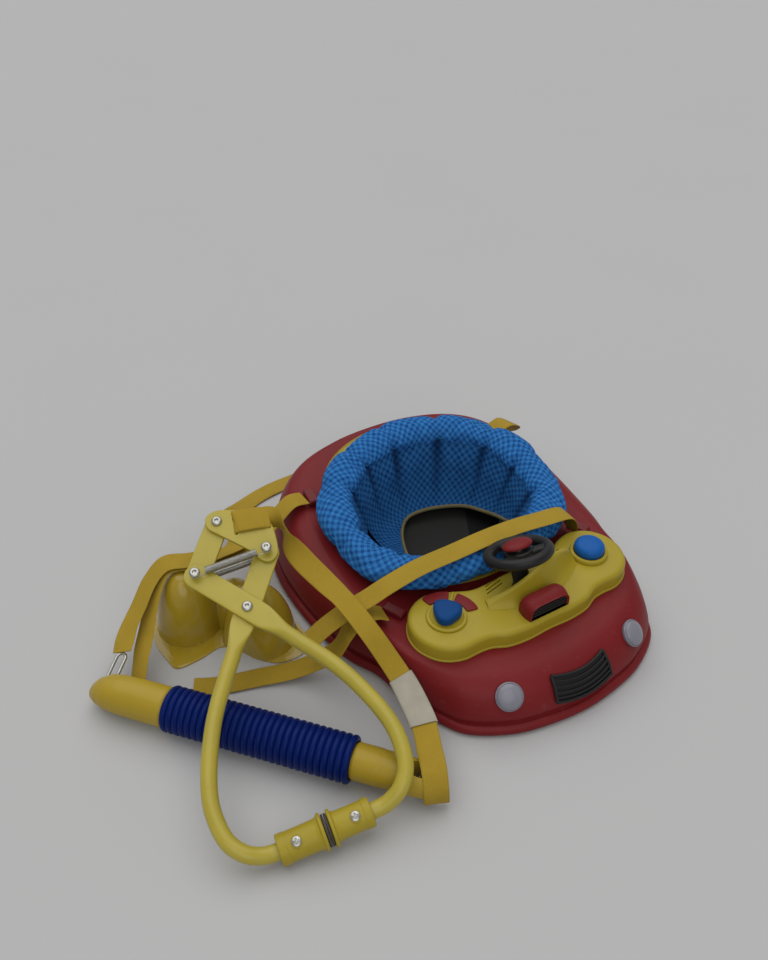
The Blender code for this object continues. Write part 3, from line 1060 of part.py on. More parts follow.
def build_unit(root, yellow, blue, steel):
    """Make the spring unit: two end caps, the ribbed sleeve, the hidden spring, the pins and the link."""
    side = Vector((math.sin(-UNIT_HEADING), math.cos(-UNIT_HEADING), 0))
    axis = Vector((math.cos(UNIT_HEADING), math.sin(UNIT_HEADING), 0))
    turn = Matrix((side, Vector((0, 0, 1)), axis)).transposed().to_4x4()
    unit_frame = empty("unit_frame", root, Matrix.Translation((UNIT_X, UNIT_Y, SLEEVE_RADIUS + GAP)) @ turn)
    slide = empty("stretch_axis", unit_frame, Matrix.Translation((0, 0, SLEEVE_HALF + GAP)))

    step = 2 * SLEEVE_HALF / SLEEVE_RIBS
    profile = []
    for i in range(SLEEVE_RIBS):
        profile.append((SLEEVE_VALLEY, -SLEEVE_HALF + i * step))
        profile.append((SLEEVE_RADIUS, -SLEEVE_HALF + (i + 0.5) * step))
    profile += [(SLEEVE_VALLEY, SLEEVE_HALF), (SLEEVE_BORE, SLEEVE_HALF), (SLEEVE_BORE, -SLEEVE_HALF)]
    turned("ribbed_sleeve", profile, SLEEVE_SIDES, blue, unit_frame, hollow=True)
    reach = SLEEVE_HALF - GAP
    turned("main_spring", [(MAIN_SPRING_RADIUS, -reach), (MAIN_SPRING_RADIUS, reach),
                           (MAIN_SPRING_RADIUS - MAIN_SPRING_WALL, reach),
                           (MAIN_SPRING_RADIUS - MAIN_SPRING_WALL, -reach)], 16, steel, unit_frame, hollow=True)

    start = SLEEVE_HALF + GAP
    stack = []
    for share, wide, drop in LOWER_CAP_SHARES:
        ring = circle(LOWER_CAP_RADIUS * wide, -start - share * LOWER_CAP_LENGTH, CAP_SIDES)
        ring[:, 1] -= drop * LOWER_CAP_RADIUS
        stack.append(ring)
    verts, faces = rings(stack)
    lower = solid("lower_cap", verts, faces, yellow, unit_frame)
    middle = -start - POCKET_PLACE
    slope = Matrix.Translation((0, 0, middle)) @ Matrix.Rotation(LINK_SLOPE, 4, "Z")
    link_frame = empty("link_place", unit_frame, slope)
    boolean(lower, box("cut_pocket", (-POCKET_BACK, -POCKET_HALF_HEIGHT, -POCKET_HALF_LENGTH),
                       (LOWER_CAP_RADIUS * 2, POCKET_HALF_HEIGHT, POCKET_HALF_LENGTH), link_frame))
    pin_frame = empty("link_pin_place", link_frame, Matrix.Rotation(math.radians(-90), 4, "X"))
    pin = POCKET_HALF_HEIGHT - GAP
    turned("link_pin", [(PIN_RADIUS, -pin), (PIN_RADIUS, pin)], 14, steel, pin_frame)
    near = -(PIN_RADIUS + LINK_WIRE + GAP * 1.5)
    half = LINK_WIDTH / 2
    track = []
    for t in np.radians(np.linspace(90, 270, 8)):
        track.append((near + half + half * math.cos(t), 0, half * math.sin(t)))
    for t in np.radians(np.linspace(-90, 90, 8)):
        track.append((near + LINK_LENGTH - half + half * math.cos(t), 0, half * math.sin(t)))
    swept("cap_link", track, LINK_WIRE, 8, steel, link_frame, closed=True, first=(0, 1, 0))

    stack = []
    for share, wide, drop in UPPER_CAP_SHARES:
        ring = circle(UPPER_CAP_RADIUS * wide, share * UPPER_CAP_LENGTH, CAP_SIDES)
        ring[:, 1] -= drop * UPPER_CAP_RADIUS
        stack.append(ring)
    verts, faces = rings(stack)
    upper = solid("upper_cap", verts, faces, yellow, slide)
    angle = np.arange(CUTOUT_SIDES) * FULL_TURN / CUTOUT_SIDES
    stack = [np.stack([CUTOUT_HALF_WIDTH * np.cos(angle), np.full(CUTOUT_SIDES, y),
                       CUTOUT_PLACE + CUTOUT_HALF_LENGTH * np.sin(angle)], axis=1)
             for y in (-UPPER_CAP_RADIUS - OVERRUN, UPPER_CAP_RADIUS + OVERRUN)]
    verts, faces = rings(stack)
    boolean(upper, solid("cut_cutout", verts, faces, None, slide, hidden=True))
    pin_frame = empty("cap_pin_place", slide, Matrix.Translation((0, 0, CUTOUT_PLACE))
                      @ Matrix.Rotation(math.radians(90), 4, "Y"))
    pin = CUTOUT_HALF_WIDTH - GAP * 2
    turned("cap_pin", [(PIN_RADIUS, -pin), (PIN_RADIUS, pin)], 14, steel, pin_frame)


def build_spreader(root, yellow):
    """Make the spreader as a closed moulding with domes on an outline with a notch."""
    middle = np.array((SPREADER_X, SPREADER_Y))
    outline = np.array(SPREADER_OUTLINE_SHARES) * SPREADER_WIDTH
    outline = resample(smooth_path(outline, 6, closed=True), SPREADER_STATIONS, closed=True)

    def height(x, y):
        total = np.full(np.shape(x), SPREADER_FLANGE)
        for cx, cy, reach, tall in SPREADER_DOME_SHARES:
            away = np.hypot(x - cx * SPREADER_WIDTH, y - cy * SPREADER_WIDTH) / (reach * SPREADER_WIDTH)
            dome = np.sqrt(np.clip(1 - away ** 2, 0, 1)) * tall * SPREADER_HEIGHT
            total = np.maximum(total, dome)
        return total

    top = []
    for share in SPREADER_RING_SHARES:
        ring = outline * share
        x, y = ring[:, 0], ring[:, 1]
        around = [(0.0, 0.0)] + [(0.035 * math.cos(t), 0.035 * math.sin(t)) for t in np.arange(6) * FULL_TURN / 6]
        z = np.mean([height(x + a * SPREADER_WIDTH, y + b * SPREADER_WIDTH) for a, b in around], axis=0)
        z = z * min(1.0, 0.35 + 6 * (1 - share)) if share > 0.9 else z
        z = np.maximum(z, SPREADER_FLANGE)
        top.append(np.stack([x, y, z], axis=1))
    foot = np.stack([outline[:, 0], outline[:, 1], np.zeros(len(outline))], axis=1)
    verts, faces = rings(top[::-1] + [foot])
    frame = empty("spreader_place", root, Matrix.Translation((*middle, 0)))
    solid("spreader", verts, faces, yellow, frame)


def strap(name, route, across, webbing, root, steps=WEB_SPAN_STEPS, part=None):
    """Make flat webbing along a route and print its length; part picks samples from first to last."""
    path = smooth_path(route, steps)
    frames = ribbon_frames(path, across)
    if part is not None:
        path, frames = path[part], (frames[0][part], frames[1][part])
    ribbon(name, path, frames, WEB_WIDTH / 2, WEB_THICKNESS / 2, webbing, root)
    run = np.linalg.norm(np.diff(path, axis=0), axis=1).sum()
    print(name, "length, m:", round(float(run), 4))


def build_straps(root, webbing, white):
    """Lay the webbing on the tray, the clamp and the floor."""
    flat = [(0.0, (0, 1, 0)), (1.0, (0, 1, 0))]
    route = HANGING_ROUTE
    across = [(0.0, (-0.18, -0.37, 0.91)), (0.20, (-0.18, -0.37, 0.91)), (0.36, (0.9, 0.4, 0.5)), (0.45, (0.9, 0.4, 0.0)),
              (1.0, (0.95, 0.05, 0.3))]
    path = smooth_path(route, WEB_SPAN_STEPS)
    middle = 11 * WEB_SPAN_STEPS - 1
    strap("strap_hanging_upper", route, across, webbing, root, part=slice(0, middle + 1))
    strap("strap_hanging_lower", route, across, webbing, root, part=slice(middle + 2, None))
    width, normal = ribbon_frames(path, across)
    pick = slice(middle - 3, middle + 6)
    half = (WEB_WIDTH / 2 + LABEL_SIDE_CLEARANCE, WEB_THICKNESS / 2 + LABEL_CLEARANCE)
    ribbon("label_sleeve", path[pick], (width[pick], normal[pick]), half[0] + LABEL_WALL, half[1] + LABEL_WALL,
           white, root, bore=half)
    strap("strap_front_right", FRONT_RIGHT_ROUTE, flat, webbing, root)
    strap("strap_front_left", FRONT_LEFT_ROUTE, [(0.0, (0, 1, 0)), (0.6, (0.3, 1, 0)), (1.0, (0.35, 1, 0))], webbing,
          root)
    strap("strap_rear_left", REAR_LEFT_ROUTE, flat, webbing, root)
    strap("strap_rear_right", REAR_RIGHT_ROUTE, [(0.0, (0, 1, 0)), (0.10, (-0.4, 1, 0)), (0.20, (-1, 0.3, 0)),
          (0.25, (-0.9, -0.5, 0)), (0.32, (0, -1, 0)), (0.45, (0.1, -1, 0)), (0.53, (1, -0.35, 0)),
          (0.59, (1, -0.3, 0)), (0.65, (1, -1, 0)), (0.70, (0, -1, 0)), (1.0, (0, -1, 0))], webbing, root)


def main():
    """Build every piece, then move the whole so that its box stands on the origin."""
    clear_scene()
    red = material("red_plastic", (0.36, 0.035, 0.04), 0.35)
    yellow = material("yellow_plastic", (0.70, 0.54, 0.06), 0.35)
    gloss = material("gloss_yellow_plastic", (0.72, 0.50, 0.05), 0.15)
    blue = material("blue_plastic", (0.010, 0.030, 0.22), 0.4)
    bright = material("bright_blue_plastic", (0.03, 0.20, 0.62), 0.35)
    paint = material("yellow_paint", (0.72, 0.60, 0.10), 0.3)
    steel = material("zinc_steel", (0.60, 0.60, 0.58), 0.35, 1.0)
    rubber = material("grey_rubber", (0.12, 0.11, 0.09), 0.8)
    black = material("black_plastic", (0.02, 0.02, 0.02), 0.4)
    white = material("white_fabric", (0.66, 0.62, 0.50), 0.8)
    check = material("blue_check_fabric", (0.03, 0.18, 0.52), 0.9)
    binding = material("tan_fabric", (0.24, 0.20, 0.10), 0.9)
    webbing = material("yellow_webbing", (0.74, 0.50, 0.05), 0.9)
    grey = material("pale_grey_plastic", (0.62, 0.60, 0.64), 0.25)

    root = empty("jumper_root")
    body, lip, shoulder = build_body(root, red)
    build_seat(root, yellow, check, binding)
    foot = build_dash(root, yellow, red, black, bright, steel)
    build_front(root, body, lip, shoulder, foot, red, black, grey)
    build_clamp(root, paint, yellow, steel, rubber, webbing)
    build_unit(root, gloss, blue, steel)
    build_spreader(root, gloss)
    build_straps(root, webbing, white)

    bpy.context.view_layer.update()
    graph = bpy.context.evaluated_depsgraph_get()
    corners = []
    for item in bpy.data.objects:
        if item.type == "MESH" and not item.hide_render and not item.name.startswith(("strap_", "label_")):
            shape = item.evaluated_get(graph)
            corners += [item.matrix_world @ v.co for v in shape.to_mesh().vertices]
            shape.to_mesh_clear()
    corners = np.array(corners)
    low, high = corners.min(axis=0), corners.max(axis=0)
    root.location = Vector((-(low[0] + high[0]) / 2, -(low[1] + high[1]) / 2, -low[2]))
    bpy.context.view_layer.update()
    print("shift", [round(v, 5) for v in root.location], "size", np.round(high - low, 4))
    for name in ("clamp_frame", "link_axis", "hanger_axis", "stretch_axis", "wheel_axis", "knob_axis", "button_axis",
                 "link_place"):
        place = bpy.data.objects[name].matrix_world
        print(name, "at", [round(v, 5) for v in place.translation], "x", [round(v, 5) for v in place.col[0][:3]],
              "z", [round(v, 5) for v in place.col[2][:3]])


main()
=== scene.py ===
"""Baby doorway jumper, dressed: a toy car tray with a padded seat, its door clamp, spring unit and webbing.

All sizes are in metres and +Z is up. Shapes are worked out in the tray's own coordinates, with the tray's
middle plane at x = 0 and its nose at negative y, and SHIFT moves them to their place in the frame.
"""
import math

import bpy
import numpy as np
from bpy.props import FloatProperty, FloatVectorProperty, IntProperty, PointerProperty
from bpy.types import Operator, Panel, PropertyGroup
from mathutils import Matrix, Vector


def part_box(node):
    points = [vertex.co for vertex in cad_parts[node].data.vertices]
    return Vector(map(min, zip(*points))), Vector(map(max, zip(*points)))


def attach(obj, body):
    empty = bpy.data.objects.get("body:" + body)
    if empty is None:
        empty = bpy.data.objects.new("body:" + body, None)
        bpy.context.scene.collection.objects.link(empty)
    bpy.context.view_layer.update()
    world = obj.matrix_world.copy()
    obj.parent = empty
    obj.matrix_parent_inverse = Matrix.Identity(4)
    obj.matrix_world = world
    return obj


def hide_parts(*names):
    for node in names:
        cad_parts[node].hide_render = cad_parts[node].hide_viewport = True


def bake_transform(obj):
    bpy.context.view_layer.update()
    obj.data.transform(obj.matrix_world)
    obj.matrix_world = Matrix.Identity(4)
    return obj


bl_info = {
    "name": "Baby doorway jumper",
    "version": (1, 0),
    "blender": (4, 5, 0),
    "location": "View3D > Sidebar > Jumper",
    "description": "Builds the tray, seat, door clamp, spring unit and webbing of a baby doorway jumper",
    "category": "Add Mesh",
}

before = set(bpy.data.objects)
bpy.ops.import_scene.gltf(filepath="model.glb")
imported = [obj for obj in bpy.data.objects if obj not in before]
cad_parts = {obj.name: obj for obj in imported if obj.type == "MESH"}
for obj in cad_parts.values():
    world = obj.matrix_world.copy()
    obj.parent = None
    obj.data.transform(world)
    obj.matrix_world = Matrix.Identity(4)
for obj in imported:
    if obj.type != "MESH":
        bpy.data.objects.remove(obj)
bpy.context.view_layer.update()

FULL_TURN = 2 * math.pi
SEAT_Y = 0.158
NOSE_REACH = 0.129
TRAY_LOW, TRAY_HIGH = (np.array(corner, float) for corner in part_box("body_shell"))
SHIFT = np.array(((TRAY_LOW[0] + TRAY_HIGH[0]) / 2, TRAY_LOW[1] + NOSE_REACH, 0.0))
TRAY_LENGTH = float(TRAY_HIGH[1] - TRAY_LOW[1])
TRAY_HALF_WIDTH = float(TRAY_HIGH[0] - TRAY_LOW[0]) / 2

LIP_OUTLINE_SHARES = (
    (0.0, 0.0), (0.303, 0.015), (0.485, 0.041), (0.641, 0.083), (0.717, 0.130), (0.773, 0.190), (0.818, 0.267),
    (0.848, 0.328), (0.929, 0.399), (0.975, 0.488), (1.0, 0.595), (0.990, 0.723), (0.919, 0.834), (0.788, 0.919),
    (0.596, 0.970), (0.303, 0.994), (0.0, 1.0))
SHOULDER_OUTLINE_SHARES = (
    (0.0, 0.136), (0.253, 0.141), (0.455, 0.162), (0.620, 0.203), (0.737, 0.265), (0.775, 0.339), (0.783, 0.446),
    (0.778, 0.574), (0.768, 0.680), (0.737, 0.776), (0.646, 0.868), (0.480, 0.936), (0.253, 0.970), (0.0, 0.979))
WALL_SHARES = ((0.0, 0.0), (0.08, 0.34), (0.28, 0.70), (0.60, 0.93), (1.0, 1.0))
DASH_OUTLINE_SHARES = (
    (0.0, 0.01), (0.21, 0.0), (0.38, 0.03), (0.50, 0.105), (0.61, 0.125), (0.74, 0.125), (0.86, 0.19), (0.95, 0.32),
    (1.0, 0.52), (0.98, 0.73), (0.89, 0.91), (0.75, 1.0), (0.61, 0.97), (0.48, 0.88), (0.32, 0.80), (0.0, 0.82))
ARM_SHARES = (
    (0.352, -0.201, 0.12), (0.659, -0.380, 0.38), (0.846, -0.533, 0.75), (0.967, -0.677, 1.05), (1.0, -0.786, 1.20),
    (0.956, -0.895, 1.18), (0.835, -0.962, 0.90), (0.69, -0.992, 0.28), (0.55, -1.0, -0.10), (0.33, -1.0, -0.10),
    (0.125, -1.0, -0.10))
HANGER_OUTLINE_SHARES = (
    (-0.30, 2.06), (-0.24, 2.17), (-0.08, 2.235), (0.16, 2.235), (0.55, 2.12), (1.13, 1.86), (1.31, 1.72),
    (1.38, 1.50), (1.35, 1.15), (1.27, 0.90), (1.10, 0.77), (0.90, 0.77), (0.72, 0.90), (0.58, 1.12),
    (-0.10, 1.73), (-0.28, 1.90))
SPREADER_OUTLINE_SHARES = (
    (0.52, -0.40), (0.50, -0.14), (0.47, 0.06), (0.33, 0.28), (0.12, 0.42), (-0.10, 0.46), (-0.32, 0.46),
    (-0.46, 0.33), (-0.50, 0.14), (-0.48, -0.05), (-0.44, -0.16), (-0.26, -0.16), (-0.10, -0.13), (0.0, -0.20),
    (0.10, -0.38), (0.24, -0.50), (0.42, -0.50))
SPREADER_DOME_SHARES = ((-0.20, 0.215, 0.235, 1.0), (0.215, -0.17, 0.27, 0.93), (0.16, 0.17, 0.22, 0.55))
LOWER_CAP_SHARES = (
    (0.0, 0.93, 0.0), (0.03, 1.0, 0.0), (0.40, 1.0, 0.0), (0.62, 0.97, 0.02), (0.76, 0.88, 0.06), (0.88, 0.68, 0.16),
    (0.96, 0.44, 0.30), (1.0, 0.24, 0.40))
UPPER_CAP_SHARES = (
    (0.0, 0.90, 0.0), (0.03, 0.95, 0.0), (0.30, 0.95, 0.0), (0.32, 0.935, 0.0), (0.70, 0.915, 0.0),
    (0.88, 0.86, 0.05), (0.97, 0.66, 0.12), (1.0, 0.42, 0.18))

HANGING_START = (
    (0.0170, 0.0935, 0.0010), (0.0190, 0.0931, 0.0068), (0.0300, 0.0912, 0.0074), (0.0450, 0.0885, 0.0066),
    (0.0560, 0.0840, 0.0030))
HANGING_ROUTE = (
    (-0.2101, 0.1467, 0.1443), (-0.2107, 0.1326, 0.1341), (-0.2050, 0.1130, 0.1220), (-0.1950, 0.0850, 0.1100),
    (-0.1860, 0.0540, 0.1010), (-0.1780, 0.0190, 0.0840), (-0.1700, -0.0060, 0.0620), (-0.1660, -0.0260, 0.0480),
    (-0.1680, -0.0500, 0.0430), (-0.1740, -0.0799, 0.0410), (-0.1850, -0.1060, 0.0430), (-0.1935, -0.1275, 0.0415),
    (-0.1995, -0.1415, 0.0290), (-0.1995, -0.1430, 0.0130), (-0.1960, -0.1380, 0.0050))
HANGING_ACROSS = (
    (0.0, (0.102, 0.916, 0.388)), (0.168, (0.102, 0.916, 0.388)), (0.263, (-0.18, -0.37, 0.91)),
    (0.39, (0.9, 0.4, 0.5)), (0.46, (0.9, 0.4, 0.0)), (0.684, (0.95, 0.1, 0.1)), (1.0, (0.86, -0.45, 0.0)))
FRONT_RIGHT_ROUTE = (
    (0.1190, 0.0515, 0.0655), (0.1140, 0.0510, 0.0860), (0.0995, 0.0485, 0.1015), (0.0680, 0.0480, 0.1075),
    (0.0340, 0.0520, 0.1085), (-0.0070, 0.0540, 0.1085), (-0.0520, 0.0535, 0.1080), (-0.0960, 0.0540, 0.1068),
    (-0.1330, 0.0535, 0.1010), (-0.1590, 0.0560, 0.0905), (-0.1820, 0.0600, 0.0805), (-0.2070, 0.0610, 0.0700),
    (-0.2270, 0.0600, 0.0600))
FRONT_LEFT_ROUTE = (
    (-0.1434, 0.0475, 0.0665), (-0.1580, 0.0500, 0.0740), (-0.1740, 0.0520, 0.0710), (-0.1890, 0.0490, 0.0600),
    (-0.2020, 0.0500, 0.0400), (-0.2190, 0.0620, 0.0200), (-0.2460, 0.0740, 0.0080), (-0.2810, 0.0880, 0.0030),
    (-0.3200, 0.1000, 0.0020), (-0.3450, 0.1120, 0.0020))
REAR_LEFT_ROUTE = (
    (-0.1404, 0.2420, 0.0882), (-0.1600, 0.2405, 0.0910), (-0.1850, 0.2340, 0.0790), (-0.2050, 0.2290, 0.0680),
    (-0.2390, 0.2140, 0.0730), (-0.2730, 0.2060, 0.0830), (-0.3000, 0.2090, 0.0868), (-0.3250, 0.2160, 0.0848),
    (-0.3430, 0.2060, 0.0705), (-0.3580, 0.1890, 0.0555), (-0.3710, 0.1720, 0.0440), (-0.3830, 0.1540, 0.0350),
    (-0.3915, 0.1405, 0.0270), (-0.3985, 0.1300, 0.0200))
REAR_RIGHT_ROUTE = (
    (0.1395, 0.2420, 0.0880), (0.1620, 0.2455, 0.0905), (0.1930, 0.2650, 0.0640), (0.2060, 0.3050, 0.0250),
    (0.1850, 0.3560, 0.0050), (0.1200, 0.3780, 0.0025), (0.0, 0.3800, 0.0020), (-0.1200, 0.3780, 0.0025),
    (-0.1850, 0.3560, 0.0060), (-0.2150, 0.3050, 0.0400), (-0.2230, 0.2550, 0.0730), (-0.2400, 0.2170, 0.0785),
    (-0.2730, 0.2060, 0.0872), (-0.3000, 0.2090, 0.0898), (-0.3250, 0.2180, 0.0889), (-0.3460, 0.2140, 0.0761),
    (-0.3670, 0.1980, 0.0612), (-0.3850, 0.1840, 0.0498), (-0.3960, 0.1690, 0.0445),
    (-0.4005, 0.1625, 0.0420))
FLAT_ACROSS = ((0.0, (0, 1, 0)), (1.0, (0, 1, 0)))
FRONT_LEFT_ACROSS = ((0.0, (0, 1, 0)), (0.6, (0.3, 1, 0)), (1.0, (0.35, 1, 0)))
REAR_RIGHT_ACROSS = (
    (0.0, (0, 1, 0)), (0.10, (-0.4, 1, 0)), (0.20, (-1, 0.3, 0)), (0.25, (-0.9, -0.5, 0)), (0.32, (0, -1, 0)),
    (0.45, (0.1, -1, 0)), (0.53, (1, -0.35, 0)), (0.59, (1, -0.3, 0)), (0.65, (1, -1, 0)), (0.70, (0, -1, 0)),
    (1.0, (0, -1, 0)))

# The seat: leg holes, lining sheet with its panel of painted shade, and sling, and how far a gather draws the collar
# in
RIGHT_HOLE = (
    (-0.010, 0.213), (0.017, 0.214), (0.044, 0.205), (0.065, 0.190), (0.078, 0.168), (0.0845, 0.1435), (0.084, 0.120),
    (0.074, 0.102), (0.045, 0.094), (0.008, 0.095), (-0.028, 0.102), (-0.047, 0.117), (-0.049, 0.139),
    (-0.041, 0.170), (-0.028, 0.197))
RIGHT_HOLE_TOP = 0.12
LEFT_HOLE_TOP = 0.046
LEFT_HOLE_MIDDLE = (-0.086, 0.160)
LEFT_HOLE_HALF = (0.021, 0.042)
LINING_OUTLINE = ((-0.070, 0.092), (0.062, 0.092), (0.090, 0.148), (0.106, 0.172), (0.135, 0.178), (0.135, 0.240),
                  (-0.070, 0.240))
# Point on the straight edge between the lining's grey panel and its near-black panel of painted shade
LINING_SHADE_EDGE = (0.043, 0.145)
RIM_LENGTH = 0.60
SLING_TOP = 0.1
SLING_RADIUS = 0.09
CREASE_DEPTH = 0.0085
TAPE_RADIUS = 0.0021
LINING_HEIGHT, LINING_THICKNESS = 0.0040, 0.0015
GATHER_DIP = 0.0062

# The tray's wall, and what sits on its nose and on the dash
LIP_HEIGHT = 0.010
LIP_STEP = 0.004
FOOT_TUCK = (0.0016, 0.0030)
DECK_RISE_FROM = 0.080
DECK_RISE_TO = 0.300
LIGHT_SHARE = 0.475
GRILLE_SHARES = (0.1875, 0.5125)
GRILLE_SPREAD = math.radians(7.5)
SCOOP_FRONT, SCOOP_DEPTH = -0.0515, 0.0190
SCOOP_HALF_WIDTH, SCOOP_HEIGHT, SCOOP_POWER = 0.0275, 0.0212, 0.45

# The clamp, with the stretch over which a plate turns into a tube; the unit, the spreader and the stage
TUBE_BLEND = 0.034
SLOT_MIDDLE_SHARES = (0.44, 1.833)
SLOT_TURN = math.radians(-100.5)
PIN_RADIUS = 0.0022
PIVOT_REACH, CUTOUT_REACH = 0.074, 0.066
SPREADER_POSITION = (-0.284, 0.170, 0.0)
FLOOR_HALF = 12.0
# Name, spread of the light, tilt and heading of each lamp, in degrees
LAMPS = (("key", 75.0, 20.0, 165.0), ("fill", 50.0, 50.0, -20.0))
CAMERA_POSITION = np.array((-0.4865, -0.5270, 0.7824))
CAMERA_TURN = (51.5, 0.0, -30.8)
# Both in millimetres
SENSOR_WIDTH, FOCAL_LENGTH = 36.0, 33.75

# Least divisor, gap left between pieces, and how far the gathers stray from even spacing
TINY = 1e-9
CLEAR = 0.0003
GATHER_SWAY = 0.12
UP = (0.0, 0.0, 1.0)


def length(name, text, value):
    """Return a length property."""
    return FloatProperty(name=name, description=text, default=value, min=0.0, unit="LENGTH", precision=5)


def colour(name, text, value):
    """Return a colour property."""
    return FloatVectorProperty(name=name, description=text, default=value, size=3, min=0.0, max=1.0, subtype="COLOR")


class TraySizes(PropertyGroup):
    """Sizes of the car tray."""
    wall: length("Wall", "Thickness of the moulded shell", 0.003)
    lip_radius: length("Lip radius", "Radius of the rolled lip round the foot", 0.0064)
    deck_front: length("Deck height", "Height of the deck at the nose", 0.060)
    deck_rise: length("Deck rise", "How far the deck climbs towards the back", 0.028)
    opening_x: length("Opening half width", "Half width of the seat opening", 0.112)
    opening_y: length("Opening half length", "Half length of the seat opening", 0.100)
    hoop_x: length("Hoop half width", "Half width of the flange under the collar", 0.138)
    hoop_front: length("Hoop front", "Reach of the flange towards the nose", 0.118)
    hoop_rear: length("Hoop rear", "Reach of the flange towards the back", 0.160)
    hoop_thickness: length("Hoop thickness", "Thickness of the flange", 0.0025)
    light_radius: length("Light radius", "Radius of a headlight", 0.0144)


class SeatSizes(PropertyGroup):
    """Sizes of the padded collar and the sling."""
    collar_x: length("Collar half width", "Half width of the collar roll's middle line", 0.128)
    collar_y: length("Collar half length", "Half length of the collar roll's middle line", 0.108)
    roll_x: length("Roll half width", "Half width of the padded roll", 0.0230)
    roll_z: length("Roll half height", "Half height of the padded roll", 0.0190)
    square: FloatProperty(name="Squareness", description="Power of the collar's front half", default=2.5, min=2.0)
    gathers: IntProperty(name="Gathers", description="Sewn gathers round the collar", default=12, min=4)
    swell: length("Swell", "Farthest that the stuffing pushes the cloth", 0.0045)
    cloth: length("Cloth", "Thickness of the sling cloth", 0.0016)
    bottom: length("Bottom", "Height of the sling's lowest point", 0.0155)
    check: length("Check", "Side of one printed check", 0.0046)


class DashSizes(PropertyGroup):
    """Sizes of the dash and what stands on it."""
    half_width: length("Half width", "Half width of the dash", 0.138)
    depth: length("Depth", "Depth of the dash from front to back", 0.096)
    front: length("Front", "Distance of the dash's front from the clamp line", 0.057)
    height: length("Height", "Height of the dash above the deck", 0.020)
    edge: length("Edge", "Radius of the dash's upper edge", 0.006)
    wheel_radius: length("Wheel radius", "Radius of the steering wheel's rim line", 0.0325)
    wheel_rim: length("Wheel rim", "Radius of the rim itself", 0.0060)
    control_x: length("Control offset", "Distance of the knob and of the button from the middle", 0.097)
    knob_radius: length("Knob radius", "Radius of the lobed knob", 0.0150)
    button_radius: length("Button radius", "Radius of the push button", 0.0170)


class ClampSizes(PropertyGroup):
    """Sizes of the door clamp."""
    link_half: length("Link half width", "Half width of the parallel linkage", 0.0385)
    link_rise: length("Link rise", "Half height of the parallel linkage", 0.051)
    spread: length("Arm spread", "Farthest bend of an arm from the middle", 0.091)
    reach: length("Arm reach", "Reach of an arm beyond the hinge", 0.229)
    bow: length("Arm bow", "How far an arm bows out of its plane", 0.008)
    tube: length("Tube radius", "Radius of the arm's tube", 0.00795)
    plate_half: length("Plate half width", "Half width of a plate", 0.0125)
    plate: length("Plate thickness", "Thickness of a plate", 0.004)
    post: length("Post reach", "Reach of the spring posts from the middle plane", 0.0130)
    curls: IntProperty(name="Spring curls", description="Turns of each clamp spring", default=56, min=6)
    wire: length("Spring wire", "Radius of the spring wire", 0.00048)


class UnitSizes(PropertyGroup):
    """Sizes of the spring unit."""
    sleeve: length("Sleeve radius", "Radius over the ribs of the sleeve", 0.024)
    valley: length("Valley radius", "Radius between the ribs", 0.0216)
    bore: length("Bore radius", "Radius of the sleeve's bore", 0.019)
    half: length("Half length", "Half length of the sleeve", 0.1005)
    ribs: IntProperty(name="Ribs", description="Ribs along the sleeve", default=29, min=4)
    lower_radius: length("Lower cap radius", "Radius of the lower cap", 0.021)
    lower_length: length("Lower cap length", "Length of the lower cap", 0.093)
    upper_radius: length("Upper cap radius", "Radius of the upper cap", 0.0195)
    upper_length: length("Upper cap length", "Length of the upper cap", 0.086)


class WebbingSizes(PropertyGroup):
    """Sizes of the webbing."""
    width: length("Width", "Width of the webbing", 0.025)
    thickness: length("Thickness", "Thickness of the webbing", 0.0016)


class Finishes(PropertyGroup):
    """Colours of the finishes."""
    red: colour("Red", "Moulded red plastic", (0.185, 0.0120, 0.0140))
    yellow: colour("Yellow", "Moulded yellow plastic", (0.385, 0.295, 0.020))
    gloss: colour("Gloss yellow", "Glossy yellow moulding", (0.41, 0.285, 0.022))
    paint: colour("Yellow paint", "Coated steel", (0.45, 0.365, 0.045))
    sleeve: colour("Sleeve blue", "Ribbed sleeve", (0.0015, 0.0120, 0.1150))
    blue: colour("Button blue", "Knob and button", (0.008, 0.105, 0.385))
    grey: colour("Pale grey", "Headlights", (0.225, 0.222, 0.262))
    check_dark: colour("Check dark", "Dark thread of the check", (0.002, 0.035, 0.200))
    check_light: colour("Check light", "Light thread of the check", (0.056, 0.300, 0.740))
    webbing: colour("Webbing", "Woven webbing", (0.385, 0.255, 0.020))
    label: colour("Label", "Woven label", (0.44, 0.41, 0.33))
    binding: colour("Binding", "Sewn binding", (0.23, 0.19, 0.085))
    steel: colour("Steel", "Plated steel", (0.55, 0.54, 0.50))
    rubber: colour("Rubber", "Pads", (0.075, 0.065, 0.050))
    black: colour("Black", "Black plastic", (0.012, 0.012, 0.012))


class StageSettings(PropertyGroup):
    """Settings of the floor and the lamps."""
    floor: colour("Floor", "Colour of the floor", (0.50, 0.50, 0.50))
    key: FloatProperty(name="Key", description="Strength of the overhead lamp", default=1.50, min=0.0)
    fill: FloatProperty(name="Fill", description="Strength of the front lamp", default=0.62, min=0.0)
    sky: FloatProperty(name="Sky", description="Strength of the even light", default=0.33, min=0.0)


